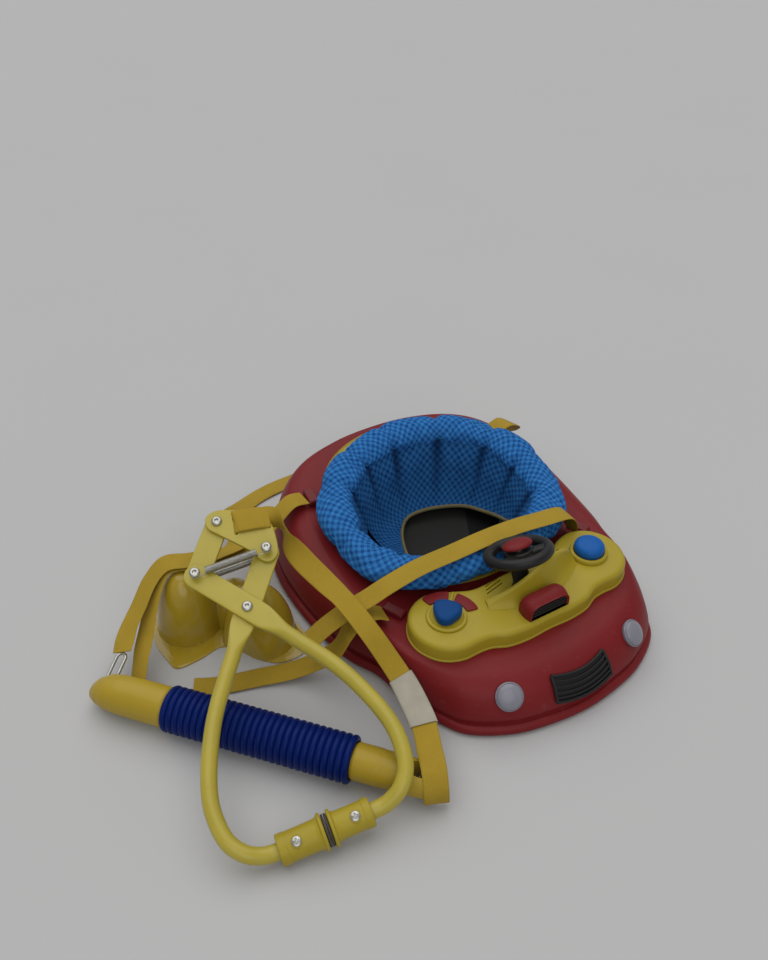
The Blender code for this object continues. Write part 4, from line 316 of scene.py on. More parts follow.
class Value:
    """A shader socket that takes part in sums; each operator on it adds a Math node."""

    def __init__(self, graph, socket):
        self.graph = graph
        self.socket = socket

    def join(self, operation, first, second=None):
        """Add a Math node for one operation."""
        values = {0: first} if second is None else {0: first, 1: second}
        return self.graph.node("ShaderNodeMath", {"operation": operation}, values)

    def __add__(self, other):
        return self.join("ADD", self, other)

    def __sub__(self, other):
        return self.join("SUBTRACT", self, other)

    def __rsub__(self, other):
        return self.join("SUBTRACT", other, self)

    def __mul__(self, other):
        return self.join("MULTIPLY", self, other)

    def __gt__(self, other):
        return self.join("GREATER_THAN", self, other)

    def floor(self):
        """Return the whole number below the value."""
        return self.join("FLOOR", self)

    def sine(self):
        """Return the sine of the value."""
        return self.join("SINE", self)

    def clamped(self):
        """Return the value kept between 0 and 1."""
        low = self.join("MAXIMUM", self, 0.0)
        return low.join("MINIMUM", low, 1.0)

    def size(self):
        """Return the value without its sign."""
        return self.join("ABSOLUTE", self)

    def power(self, other):
        """Return the value to a power."""
        return self.join("POWER", self, other)


class Graph:
    """A material's node tree with short ways to add and link its nodes."""

    def __init__(self, name):
        self.material = bpy.data.materials.new(name)
        self.material.use_nodes = True
        self.tree = self.material.node_tree
        self.shader = self.tree.nodes["Principled BSDF"]

    def feed(self, socket, value):
        """Link a value to a socket, or set the socket to a number or a colour."""
        if isinstance(value, Value):
            self.tree.links.new(value.socket, socket)
        elif socket.type == "RGBA" and len(value) == 3:
            socket.default_value = (*value, 1.0)
        else:
            socket.default_value = value

    def node(self, kind, settings=None, values=None, out=0):
        """Add a node of a type, with its settings first and then its sockets' values or links."""
        made = self.tree.nodes.new(kind)
        for key, value in (settings or {}).items():
            setattr(made, key, value)
        for key, value in (values or {}).items():
            self.feed(made.inputs[key], value)
        return Value(self, made.outputs[out])

    def mix(self, factor, first, second):
        """Mix two colours."""
        return self.node("ShaderNodeMix", {"data_type": "RGBA"}, {0: factor, 6: first, 7: second}, 2)

    def noise(self, vector, scale, detail=3.0, roughness=0.55):
        """Return smooth noise between about 0.3 and 0.7."""
        return self.node("ShaderNodeTexNoise", {}, {"Vector": vector, "Scale": scale, "Detail": detail,
                                                    "Roughness": roughness})

    def object_place(self):
        """Return the piece's own coordinates in metres."""
        return self.node("ShaderNodeTexCoord", out=3)

    def split(self, place):
        """Return the first two coordinates of a place."""
        first = self.node("ShaderNodeSeparateXYZ", {}, {0: place})
        return first, Value(self, first.socket.node.outputs[1])

    def flat_place(self):
        """Return the two coordinates along the surface, in metres."""
        return self.split(self.node("ShaderNodeUVMap", {"uv_map": "UVMap"}))

    def weave(self, u, v, pitch):
        """Return a plain weave: the product of two sines, one across and one along, in steps of a pitch."""
        return (u * (FULL_TURN / pitch)).sine() * (v * (FULL_TURN / pitch)).sine()

    def bump(self, height, distance):
        """Feed a height to the shader's normal through a Bump node."""
        normal = self.node("ShaderNodeBump", {}, {"Height": height, "Distance": distance, "Strength": 1.0})
        self.feed(self.shader.inputs["Normal"], normal)

    def finish(self, **inputs):
        """Set or link the shader's sockets by name, with underscores for spaces, and return the material."""
        for key, value in inputs.items():
            self.feed(self.shader.inputs[key.replace("_", " ")], value)
        return self.material


def scaled(values, factor):
    """Return a colour made darker or lighter."""
    return tuple(min(1.0, v * factor) for v in values)


def moulded(name, base, rough, coat=0.0, grain=0.00005, scuff=0.25, shine=0.28):
    """Moulded plastic: slow tone changes, a fine grain, and pale scuffs where stretched noise peaks."""
    graph = Graph(name)
    place = graph.object_place()
    slow = graph.noise(place, 14.0, 2.0)
    fine = graph.noise(place, 1400.0, 2.0)
    wear = graph.noise(place, 90.0, 6.0, 0.7)
    tone = graph.mix(slow, scaled(base, 0.84), scaled(base, 1.14))
    mask = ((wear - 0.60) * 6.0).clamped() * scuff
    pale = tuple(0.8 * v + 0.09 for v in base)
    graph.bump(fine + wear * 0.6, grain)
    dull = mask * 0.25 + (slow * 0.12 + (rough - 0.06))
    return graph.finish(Base_Color=graph.mix(mask, tone, pale), Roughness=dull, Coat_Weight=coat, Coat_Roughness=0.12,
                        Specular_IOR_Level=shine)


def painted(name, base):
    """Coated steel: a slightly wavy gloss coat with small dull rubs that show a darker layer."""
    graph = Graph(name)
    place = graph.object_place()
    slow = graph.noise(place, 22.0, 2.0)
    peel = graph.noise(place, 420.0, 2.0)
    rub = graph.noise(place, 130.0, 5.0, 0.75)
    mask = ((rub - 0.64) * 9.0).clamped() * 0.5
    graph.bump(peel, 0.00006)
    tone = graph.mix(slow, scaled(base, 0.86), scaled(base, 1.12))
    return graph.finish(Base_Color=graph.mix(mask, tone, scaled(base, 0.45)), Coat_Weight=0.2, Coat_Roughness=0.1,
                        Roughness=slow * 0.14 + mask * 0.3 + 0.24, Specular_IOR_Level=0.3)


def plated(name, base, rough=0.30):
    """Plated steel: streaked brightness and dull spots."""
    graph = Graph(name)
    place = graph.object_place()
    streak = graph.noise(place, 260.0, 4.0, 0.7)
    spot = graph.noise(place, 900.0, 2.0)
    graph.bump(spot, 0.00003)
    return graph.finish(Base_Color=graph.mix(streak, scaled(base, 0.45), scaled(base, 1.25)),
                        Roughness=spot * 0.3 + (rough - 0.12), Metallic=1.0)


def check_cloth(name, dark, light, side, gathers=0, around=RIM_LENGTH, fall=0.085):
    """Printed cotton check: stripes both ways in steps of one check, over a fine plain weave.

    The tone is the mean of two square waves along the surface, so that a check is dark, middle or light, and
    noise breaks the print up as worn cloth does. Where there are gathers, a high power of a sine round the seat
    gives the creases below them painted shade, which fades down the fall of the cloth.
    """
    graph = Graph(name)
    u, v = graph.flat_place()
    place = graph.object_place()
    across, along = (u + v) * (math.pi / side), (u - v) * (math.pi / side)
    worn = graph.noise(place, 70.0, 4.0)
    speck = graph.noise(place, 420.0, 3.0, 0.7)
    stripes = (across.sine() * 3.0 + 0.5).clamped() + (along.sine() * 3.0 + 0.5).clamped()
    tone = (stripes * 0.27 + speck * 0.80 + worn * 0.30 - 0.34).clamped()
    thread = graph.weave(u, v, 0.0009)
    puff = graph.noise(place, 110.0, 3.0)
    graph.bump(thread * 0.35 + speck * 0.4 + puff * 1.2, 0.00045)
    shade = graph.mix(tone, dark, light)
    # Painted shade: the creases below the gathers are mixed towards a darker copy of the dark thread, fading down the
    # cloth.
    if gathers:
        turn = u * (FULL_TURN / around)
        sway = (turn * 3).sine() * (GATHER_SWAY * math.pi)
        crease = (turn * (gathers / 2) + sway + math.pi / 2).sine().size().power(16)
        shade = graph.mix(crease * (1 - v * (1 / fall)).clamped() * 0.8, shade, scaled(dark, 0.4))
    return graph.finish(Base_Color=shade, Roughness=0.9, Specular_IOR_Level=0.1)


def woven_band(name, base, half_width, rib=0.0019, pick=0.0013, edge=0.0011):
    """Flat webbing: lengthwise ribs crossed by picks that step by half from rib to rib, with a flatter selvedge.

    Height is the product of two rectified sines, one across and one along; colour darkens with it as painted shade,
    in the furrows and along the flatter selvedge.
    """
    graph = Graph(name)
    u, v = graph.flat_place()
    place = graph.object_place()
    half_step = (u * (1 / rib)).floor() * 0.5
    ribs = (u * (math.pi / rib)).sine().size()
    picks = ((v * (1 / pick) + half_step) * math.pi).sine().size()
    selvedge = u.size() > (half_width - edge)
    grime = graph.noise(place, 34.0, 4.0)
    fibre = graph.noise(place, 1500.0, 2.0)
    height = ribs.power(0.5) * picks.power(0.5) * (1 - selvedge * 0.6)
    # Painted shade: low weave height darkens the furrows and the selvedge; the grime and fibre noise add random tone.
    tone = (height * 0.5 + fibre * 0.35 + grime * 0.5).clamped()
    graph.bump(height + fibre * 0.5, 0.00022)
    return graph.finish(Base_Color=graph.mix(tone, scaled(base, 0.62), scaled(base, 1.16)), Roughness=0.72,
                        Specular_IOR_Level=0.25)


def plain_weave(name, base, pitch=0.0008):
    """Smooth tape or label cloth with a fine plain weave."""
    graph = Graph(name)
    u, v = graph.flat_place()
    thread = graph.weave(u, v, pitch)
    grime = graph.noise(graph.object_place(), 60.0, 4.0)
    graph.bump(thread * 0.5 + grime, 0.00018)
    return graph.finish(Base_Color=graph.mix(grime, scaled(base, 0.78), scaled(base, 1.15)), Roughness=0.8,
                        Specular_IOR_Level=0.2)


def lining_with_painted_shade(name, left, right):
    """Dull, fine-grained sheet: a grey lining panel, and past a straight edge a near-black panel of painted shade."""
    graph = Graph(name)
    place = graph.object_place()
    x, y = graph.split(place)
    middle_x, middle_y = (float(v) for v in LINING_SHADE_EDGE + SHIFT[:2])
    # Painted shade: past this straight edge the sheet takes the near-black colour.
    seam = (x - middle_x) * 60.0 - (y - middle_y) * 32.0
    graph.bump(graph.noise(place, 800.0, 2.0), 0.0002)
    return graph.finish(Base_Color=graph.mix(seam > 0.0, left, right), Roughness=0.95)


FINISH_CACHE = {}


def finish(name):
    """Return a finish by name, made once from the colours of the scene's settings."""
    if name in FINISH_CACHE:
        return FINISH_CACHE[name]
    use = bpy.context.scene.jumper_finishes
    web = bpy.context.scene.jumper_webbing
    seat = bpy.context.scene.jumper_seat
    makers = {
        "red_plastic": lambda: moulded("Moulded red", use.red, 0.42, grain=0.00007, shine=0.18),
        "yellow_plastic": lambda: moulded("Moulded yellow", use.yellow, 0.38),
        "gloss_yellow_plastic": lambda: moulded("Gloss yellow", use.gloss, 0.20, coat=0.5, grain=0.00002, scuff=0.1),
        "unit_yellow_plastic": lambda: moulded("Cap yellow", use.gloss, 0.36),
        "blue_plastic": lambda: moulded("Sleeve blue", use.sleeve, 0.34, scuff=0.03, shine=0.10),
        "bright_blue_plastic": lambda: moulded("Control blue", use.blue, 0.36, scuff=0.05, shine=0.14),
        "black_plastic": lambda: moulded("Black", use.black, 0.38, scuff=0.06),
        "pale_grey_plastic": lambda: moulded("Pale grey", use.grey, 0.24, coat=0.3, grain=0.00002, scuff=0.1),
        "grey_rubber": lambda: moulded("Rubber", use.rubber, 0.72, grain=0.00012, scuff=0.1),
        "yellow_paint": lambda: painted("Coated steel", use.paint),
        "zinc_steel": lambda: plated("Plated steel", use.steel),
        "blue_check_fabric": lambda: check_cloth("Check cloth", use.check_dark, use.check_light, seat.check),
        # The sling's finish is the check cloth made darker as painted shade for the inside of the seat, with painted
        # shade in its creases.
        "sling_cloth_in_painted_shade": lambda: check_cloth("Sling cloth", scaled(use.check_dark, 0.60), scaled(use.check_light, 0.72),
                                           seat.check, seat.gathers, sling_round()),
        "tan_fabric": lambda: plain_weave("Binding", use.binding),
        "white_fabric": lambda: plain_weave("Label", use.label),
        "yellow_webbing": lambda: woven_band("Webbing", use.webbing, web.width / 2),
        # A dark sheet under the seat: a grey lining panel and a near-black panel of painted shade.
        "lining": lambda: lining_with_painted_shade("Lining", (0.020, 0.020, 0.017), (0.0016, 0.0016, 0.0016)),
        # The knob takes the control blue made darker: painted shade.
        "knob": lambda: moulded("Knob blue", scaled(use.blue, 0.52), 0.40, scuff=0.03, shine=0.09),
        "anchor": lambda: moulded("Anchor red", scaled(use.red, 0.8), 0.42, scuff=0.1),
    }
    FINISH_CACHE[name] = makers[name]()
    return FINISH_CACHE[name]


def unit(vector):
    """Return vectors of length one along the last axis."""
    vector = np.asarray(vector, float)
    return vector / np.maximum(np.linalg.norm(vector, axis=-1, keepdims=True), TINY)


def circle(count, start=0.0):
    """Evenly spaced angles of one full turn."""
    return np.arange(count) * FULL_TURN / count + start


def combine(*parts):
    """Put coordinates of matching shapes together along a new last axis."""
    return np.stack(np.broadcast_arrays(*parts), axis=-1)


def lifted(plane, height):
    """Give points of a plane a height."""
    return combine(plane[..., 0], plane[..., 1], height)


def arc(radius, first, last, count, middle=(0.0, 0.0)):
    """Points on a plane arc between two angles in degrees."""
    t = np.radians(np.linspace(first, last, count))
    return middle + radius * combine(np.cos(t), np.sin(t))


def dome(radius, low, rise, count, power=1.0, flat=0.0, gap=0.0):
    """Profile of a dome, from its foot to its top.

    The radius is its flat share plus the rest times a power of the cosine over a quarter turn, and the height
    grows with the sine.
    """
    t = np.linspace(0, math.pi / 2, count)
    return combine(radius * (flat + (1 - flat) * np.cos(t) ** power) + gap, low + rise * np.sin(t))


def rounded(wave, power):
    """A sine or cosine to a power with its sign kept, as a superellipse needs it."""
    return np.sign(wave) * np.abs(wave) ** power


def smooth_step(share):
    """Three squares less two cubes of a share kept between 0 and 1."""
    share = np.clip(share, 0, 1)
    return share ** 2 * (3 - 2 * share)


def smooth_path(points, steps, closed=False):
    """Points on a Catmull-Rom curve.

    On the span from b to c, with a before and d after, the point is half of
    2b + (c - a)s + (2a - 5b + 4c - d)s^2 + (3b - a - 3c + d)s^3 for s from 0 to 1.
    """
    pts = np.asarray(points, float)
    if closed:
        a, b, c, d = (np.roll(pts, k, axis=0)[:, None, :] for k in (1, 0, -1, -2))
    else:
        more = np.vstack([2 * pts[0] - pts[1], pts, 2 * pts[-1] - pts[-2]])
        a, b, c, d = (q[:, None, :] for q in (more[:-3], more[1:-2], more[2:-1], more[3:]))
    s = (np.arange(steps) / steps)[None, :, None]
    out = 0.5 * (2 * b + (c - a) * s + (2 * a - 5 * b + 4 * c - d) * s ** 2 + (3 * b - a - 3 * c + d) * s ** 3)
    out = out.reshape(-1, pts.shape[1])
    return out if closed else np.vstack([out, pts[-1:]])


def resample(points, count, closed=False):
    """Evenly spaced points along a polyline."""
    pts = np.asarray(points, float)
    if closed:
        pts = np.vstack([pts, pts[:1]])
    run = run_length(pts)
    at = np.linspace(0, run[-1], count + 1)[:-1] if closed else np.linspace(0, run[-1], count)
    return np.stack([np.interp(at, run, pts[:, k]) for k in range(pts.shape[1])], axis=1)


def run_length(points):
    """Distance along a polyline at each of its points."""
    return np.concatenate([[0.0], np.cumsum(np.linalg.norm(np.diff(points, axis=0), axis=1))])


def mean_run(points, axis):
    """Mean distance along the rows or the columns of a grid of points, from the first of them."""
    steps = np.linalg.norm(np.diff(points, axis=axis), axis=2).mean(axis=1 - axis)
    return np.concatenate([[0.0], np.cumsum(steps)])


def quadratic(first, corner, last, s):
    """Points of a quadratic curve from first to last, drawn towards the corner, for s from 0 to 1."""
    return (1 - s) ** 2 * first + 2 * s * (1 - s) * corner + s ** 2 * last


def directions(path, closed=False):
    """Unit direction of a path at each of its points."""
    if closed:
        return unit(np.roll(path, -1, axis=0) - np.roll(path, 1, axis=0))
    return unit(np.gradient(np.asarray(path, float), axis=0))


def fillet(points, radius, steps=5):
    """Replace each inner corner of a polyline by a quadratic curve that starts a radius before it."""
    pts = np.asarray(points, float)
    out = [pts[:1]]
    s = np.linspace(0, 1, steps)[:, None]
    for before, corner, after in zip(pts[:-2], pts[1:-1], pts[2:]):
        back, ahead = before - corner, after - corner
        a = corner + unit(back) * min(radius, np.linalg.norm(back) * 0.49)
        b = corner + unit(ahead) * min(radius, np.linalg.norm(ahead) * 0.49)
        out.append(quadratic(a, corner, b, s))
    out.append(pts[-1:])
    return np.vstack(out)


def rotation(axis, angle):
    """Rotation matrix about X, Y or Z."""
    c, s = math.cos(angle), math.sin(angle)
    rows = {"X": ((1, 0, 0), (0, c, -s), (0, s, c)), "Y": ((c, 0, s), (0, 1, 0), (-s, 0, c)),
            "Z": ((c, -s, 0), (s, c, 0), (0, 0, 1))}
    return np.array(rows[axis])


class Place:
    """A turn and a position that carry points from a piece's own frame to the tray's."""

    def __init__(self, position=(0, 0, 0), turn=None):
        self.position = np.asarray(position, float)
        self.turn = np.eye(3) if turn is None else np.asarray(turn, float)

    def __call__(self, points):
        return np.asarray(points, float) @ self.turn.T + self.position

    def inner(self, position=(0, 0, 0), turn=None):
        """Return a frame given inside this one."""
        return Place(self(position), self.turn @ (np.eye(3) if turn is None else turn))


TRAY = Place()


class Shape:
    """Vertices, faces and the faces' surface coordinates in metres, gathered before they become one mesh."""

    def __init__(self):
        self.points, self.faces, self.corners, self.count = [], [], [], 0

    def keep(self, points, blocks, corners):
        """Add vertices with blocks of faces, turned outwards if they enclose a negative volume."""
        points = points.reshape(-1, 3)
        volume = sum(np.einsum("ij,ij->", points[f[:, 0]], np.cross(points[f[:, k]], points[f[:, k + 1]]))
                     for f in blocks for k in range(1, f.shape[1] - 1))
        for block, corner in zip(blocks, corners):
            if volume < 0:
                block, corner = block[:, ::-1], corner[:, ::-1]
            self.faces.append(block + self.count)
            self.corners.append(corner)
        self.points.append(points)
        self.count += len(points)
        return self

    def grid(self, points, ring=False, flat=False, period=0.0, uv=None):
        """Join rows of points into quads, each row closed on itself.

        Ring closes the rows on each other as well; otherwise each end gets a fan of triangles, or one flat face.
        The surface coordinates are the mean distances along and across, rounded to whole periods where a
        pattern has to meet itself.
        """
        points = np.asarray(points, float)
        rows, cols = points.shape[:2]
        if uv is None:
            runs = [mean_run(np.concatenate([points, points[:, :1]], axis=1), 1),
                    mean_run(np.concatenate([points, points[:1]]), 0)]
            if period:
                runs = [run * max(1, round(run[-1] / period)) * period / run[-1] for run in runs]
            uv = np.stack(np.meshgrid(*runs), axis=-1)
        i, j = np.meshgrid(np.arange(rows - (not ring)), np.arange(cols), indexing="ij")
        up, side = (i + 1) % rows, (j + 1) % cols
        quads = np.stack([i * cols + j, i * cols + side, up * cols + side, up * cols + j], axis=-1).reshape(-1, 4)
        corner = np.stack([uv[i, j], uv[i, j + 1], uv[i + 1, j + 1], uv[i + 1, j]], axis=-2).reshape(-1, 4, 2)
        blocks, corners = [quads], [corner]
        flat_points = points.reshape(-1, 3)
        if not ring:
            k = np.arange(cols)
            for row, turned in ((0, True), (rows - 1, False)):
                first, second = row * cols + k, row * cols + (k + 1) % cols
                if flat:
                    block = first[None, ::-1] if turned else first[None, :]
                    wanted = uv[row, :cols][None]
                else:
                    centre = np.full(cols, len(flat_points))
                    flat_points = np.vstack([flat_points, points[row].mean(axis=0)])
                    block = np.stack([centre, second, first] if turned else [centre, first, second], axis=1)
                    middle = np.repeat(uv[row, :cols].mean(axis=0)[None], cols, axis=0)
                    wanted = np.stack([middle, uv[row, k + 1] if turned else uv[row, k],
                                       uv[row, k] if turned else uv[row, k + 1]], axis=1)
                blocks.append(block)
                corners.append(wanted)
        return self.keep(flat_points, blocks, corners)

    def lathe(self, profile, sides, place=TRAY, hollow=False, squash=1.0):
        """Turn a profile of (radius, height) round the place's Z axis; a hollow one closes on itself."""
        radius, height = np.asarray(profile, float).T[:, :, None]
        angle = circle(sides)
        points = combine(radius * np.cos(angle), squash * (radius * np.sin(angle)), height)
        return self.grid(place(points), ring=hollow)

    def tube(self, path, radius, sides, reference, place=TRAY, closed=False, oval=1.0):
        """Carry a round or oval section along a path; its first axis is square to the path and the reference."""
        path = np.asarray(path, float)
        along = directions(path, closed)
        side = unit(np.cross(along, reference))
        lift = np.cross(along, side)
        angle = circle(sides)[None, :, None]
        radius = np.broadcast_to(np.asarray(radius, float), (len(path),))[:, None, None]
        points = path[:, None, :] + radius * (np.cos(angle) * side[:, None, :]
                                              + oval * np.sin(angle) * lift[:, None, :])
        return self.grid(place(points), ring=closed)

    def slab(self, outline, levels, place=TRAY):
        """Stack an outline at levels of (height, inset), the inset measured square to the outline."""
        outline = np.asarray(outline, float)
        heading = directions(outline, closed=True)
        inward = np.stack([-heading[:, 1], heading[:, 0]], axis=1)
        area = np.sum(outline[:, 0] * np.roll(outline[:, 1], -1) - np.roll(outline[:, 0], -1) * outline[:, 1])
        inward = inward * np.sign(area)
        points = np.array([lifted(outline + inset * inward, height) for height, inset in levels])
        return self.grid(place(points), flat=True)


def rounded_levels(low, high, edge, steps=5):
    """Levels of a slab from low to high with a quarter round of a given radius along its upper edge."""
    t = np.linspace(0, math.pi / 2, steps)
    return [(low, 0.0)] + [(high - edge + edge * math.sin(a), edge * (1 - math.cos(a))) for a in t]


def straight_levels(low, high):
    """Levels of a slab with straight sides."""
    return [(low, 0.0), (high, 0.0)]


def bevelled_levels(low, high, bevel):
    """Levels of a plate with a small bevel along both its edges."""
    return [(low, bevel), (low + bevel, 0.0), (high - bevel, 0.0), (high, bevel)]


def make_object(name, shape, material, crease=40.0):
    """Turn a gathered shape into an object at the origin, smooth but for its edges."""
    mesh = bpy.data.meshes.new(name)
    mesh.from_pydata((np.concatenate(shape.points) + SHIFT).tolist(), [],
                     [face for block in shape.faces for face in block.tolist()])
    layer = mesh.uv_layers.new(name="UVMap")
    layer.data.foreach_set("uv", np.concatenate([c.reshape(-1, 2) for c in shape.corners]).ravel())
    mesh.shade_smooth()
    mesh.set_sharp_from_angle(angle=math.radians(crease))
    if material is not None:
        mesh.materials.append(material)
    made = bpy.data.objects.new(name, mesh)
    bpy.context.scene.collection.objects.link(made)
    return made


def carve(target, shape, crease):
    """Cut a shape out of a piece and keep the result as the piece's own mesh."""
    cutter = make_object("cutter", shape, None)
    cut = target.modifiers.new("cut", "BOOLEAN")
    cut.operation = "DIFFERENCE"
    cut.solver = "EXACT"
    cut.object = cutter
    bpy.context.view_layer.update()
    graph = bpy.context.evaluated_depsgraph_get()
    result = bpy.data.meshes.new_from_object(target.evaluated_get(graph))
    target.modifiers.clear()
    old, target.data = target.data, result
    result.name = old.name
    bpy.data.meshes.remove(old)
    bpy.data.objects.remove(cutter, do_unlink=True)
    result.shade_smooth()
    result.set_sharp_from_angle(angle=math.radians(crease))


def settle(made, body, nodes):
    """Parent a piece to its body's empty, or bake it where it spans bodies, and hide the nodes it replaces."""
    if isinstance(body, str):
        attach(made, body)
    else:
        tuple(body[2] + SHIFT)
        tuple(body[3] + SHIFT)
        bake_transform(made)
    if nodes:
        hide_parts(*nodes)
    return made


def add_piece(name, shape, slot, body="tray", nodes=(), crease=40.0, look=None, cuts=()):
    """Make a piece with its finish, cut what is cut out of it, and settle it on its body."""
    made = make_object(name, shape, finish(look or slot), crease)
    for cut in cuts:
        carve(made, cut, crease)
    return settle(made, body, nodes)


def dress(node, slot, bevel=0.0):
    """Give a kept node its finish, and round its edges where a radius is given."""
    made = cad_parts[node]
    made.data.materials.clear()
    made.data.materials.append(finish(slot))
    if bevel:
        weld = made.modifiers.new("weld", "WELD")
        weld.merge_threshold = 0.00001
        edge = made.modifiers.new("edge", "BEVEL")
        edge.width = bevel
        edge.segments = 2
        edge.limit_method = "ANGLE"


def outline_of(shares, half_width, depth, front, steps=12):
    """Closed outline from the right half's shares of half width and depth, front end first."""
    half = np.array([(x * half_width, front + y * depth) for x, y in shares])
    left = half[1:-1][::-1] * (-1, 1)
    return smooth_path(np.vstack([half, left]), steps, closed=True)


def reach_of(outline):
    """Function that gives the distance of an outline from the seat centre at an angle."""
    offset = outline - (0, SEAT_Y)
    angle = np.arctan2(offset[:, 1], offset[:, 0])
    order = np.argsort(angle)
    return lambda a: np.interp(a, angle[order], np.linalg.norm(offset, axis=1)[order], period=FULL_TURN)


LIP_REACH = reach_of(outline_of(LIP_OUTLINE_SHARES, TRAY_HALF_WIDTH, TRAY_LENGTH, -NOSE_REACH))
SHOULDER_REACH = reach_of(outline_of(SHOULDER_OUTLINE_SHARES, TRAY_HALF_WIDTH, TRAY_LENGTH, -NOSE_REACH))
WALL_CURVE = smooth_path(WALL_SHARES, 8)


def ellipse_reach(angle, half_x, half_y):
    """Distance of an ellipse from its centre at an angle."""
    return 1 / np.hypot(np.cos(angle) / half_x, np.sin(angle) / half_y)


def deck(y):
    """Height of the deck: flat at the nose, then a smooth step up to the back."""
    tray = bpy.context.scene.jumper_tray
    return tray.deck_front + tray.deck_rise * smooth_step((y - DECK_RISE_FROM) / (DECK_RISE_TO - DECK_RISE_FROM))


def round_seat(angle, reach, height):
    """Points round the seat centre, from their angle, their distance from it and their height."""
    return combine(reach * np.cos(angle), SEAT_Y + reach * np.sin(angle), height)


def wall_section(angle, share, out=0.0):
    """Points on the tray's side wall at angles round the seat, for a share of the way up, moved outwards.

    A point runs from the foot behind the lip to the shoulder under the deck along a fixed curve of inward and
    upward shares, and its normal comes from that curve's slope.
    """
    angle, share = np.broadcast_arrays(np.asarray(angle, float), np.asarray(share, float))
    foot = LIP_REACH(angle) - LIP_STEP
    top = SHOULDER_REACH(angle)
    low = LIP_HEIGHT + LIP_STEP / 2
    high = deck(SEAT_Y + top * np.sin(angle))
    index = np.linspace(0, 1, len(WALL_CURVE))
    inward, upward = (np.interp(share, index, WALL_CURVE[:, k]) for k in (0, 1))
    step = 0.02
    slope_in, slope_up = (np.interp(share + step, index, WALL_CURVE[:, k])
                          - np.interp(share - step, index, WALL_CURVE[:, k]) for k in (0, 1))
    normal = unit(combine(slope_up * (high - low), -slope_in * (top - foot)))
    reach = foot + (top - foot) * inward + out * normal[..., 0]
    return round_seat(angle, reach, low + (high - low) * upward + out * normal[..., 1])


def wall_frame(angle, share, out):
    """Frame on the side wall with Z pointing outwards."""
    step = 0.03
    here = wall_section(angle, share)
    beside = wall_section(angle + step, share)
    above = wall_section(angle, share + step)
    normal = unit(np.cross(beside - here, above - here))
    first = unit(beside - here)
    return Place(here + normal * out, np.stack([first, np.cross(normal, first), normal], axis=1))


class JUMPER_OT_body(Operator):
    """Make the red shell of the tray: rolled lip, side wall, deck and the turned-down rim of the opening."""
    bl_idname = "jumper.body"
    bl_label = "Tray body"

    def execute(self, context):
        """Carry one closed section round the seat centre.

        At each angle the section goes round the lip's circle, up the wall curve, along the deck and down a
        quarter round at the opening; the inside follows it one wall thickness away.
        """
        tray = context.scene.jumper_tray
        angle = circle(420)[:, None]
        outer = LIP_REACH(angle)
        roll = tray.lip_radius
        t = np.radians(np.linspace(-88, 96, 18))
        lip = combine(outer - (roll - roll * np.cos(t)), roll + roll * np.sin(t))
        wall = wall_section(angle, np.linspace(0.14, 1, 30))
        wall = combine(np.linalg.norm(wall[..., :2] - (0, SEAT_Y), axis=-1), wall[..., 2])
        corner = (lip[:, -1:] + wall[:, :1]) / 2 - FOOT_TUCK
        hollow = quadratic(lip[:, -1:], corner, wall[:, :1], np.linspace(0.12, 0.9, 6)[None, :, None])
        share = np.linspace(0.06, 1, 14)
        edge = ellipse_reach(angle, tray.opening_x, tray.opening_y)
        reach = SHOULDER_REACH(angle) * (1 - share) + (edge + tray.wall) * share
        flat = combine(reach, deck(SEAT_Y + reach * np.sin(angle)))
        t = np.linspace(0.2, math.pi / 2, 5)
        bend = flat[:, -1:] - tray.wall * combine(np.sin(t), 1 - np.cos(t))
        fall = bend[:, -1:] - (0, 2.2 * tray.wall)
        skin = np.concatenate([hollow, wall, flat, bend, fall], axis=1)
        slope = unit(np.gradient(skin, axis=1))
        inner = skin - tray.wall * combine(slope[..., 1], -slope[..., 0])
        back = combine(outer - roll - tray.wall, CLEAR)
        loop = np.concatenate([lip, skin, inner[:, ::-1], back], axis=1)
        points = round_seat(angle, loop[..., 0], loop[..., 1])
        add_piece("tray_body", Shape().grid(points, ring=True), "red_plastic", nodes=("body_shell",), crease=55.0)
        return {"FINISHED"}


class JUMPER_OT_hoop(Operator):
    """Make the yellow flange that the collar sits on, with a bead along its outer edge."""
    bl_idname = "jumper.hoop"
    bl_label = "Seat flange"

    def execute(self, context):
        """Carry a flat section with a round bead round the seat centre, a little above the deck."""
        tray = context.scene.jumper_tray
        angle = circle(300)[:, None]
        inner = ellipse_reach(angle, tray.opening_x, tray.opening_y)
        rear = np.where(np.sin(angle) > 0, tray.hoop_rear, tray.hoop_front)
        outer = ellipse_reach(angle, tray.hoop_x, rear)
        thick = tray.hoop_thickness
        half = thick / 2
        t = np.radians(np.linspace(-90, 150, 9))
        bead = combine(outer - half + half * np.cos(t), half + half * 1.35 * np.sin(t))
        loop = np.concatenate([combine(inner, 0.0), bead, combine((inner + outer) / 2, thick * 0.9),
                               combine(inner, thick)], axis=1)
        height = deck(SEAT_Y + loop[..., 0] * np.sin(angle)) + 3 * CLEAR + loop[..., 1]
        points = round_seat(angle, loop[..., 0], height)
        add_piece("seat_flange", Shape().grid(points, ring=True), "yellow_plastic", nodes=("seat_hoop",))
        return {"FINISHED"}


def seat_power(y):
    """Power of the superellipse that the seat follows: a plain ellipse behind, squarer in front."""
    return np.where(y < SEAT_Y, bpy.context.scene.jumper_seat.square, 2.0)


def seat_ring(count, half_x, half_y):
    """Evenly spaced points on the seat's outline, |x/a|^p + |y/b|^p = 1."""
    angle = circle(4 * count)
    power = 2 / seat_power(SEAT_Y + np.sin(angle))
    points = combine(half_x * rounded(np.cos(angle), power), SEAT_Y + half_y * rounded(np.sin(angle), power))
    return resample(points, count, closed=True)


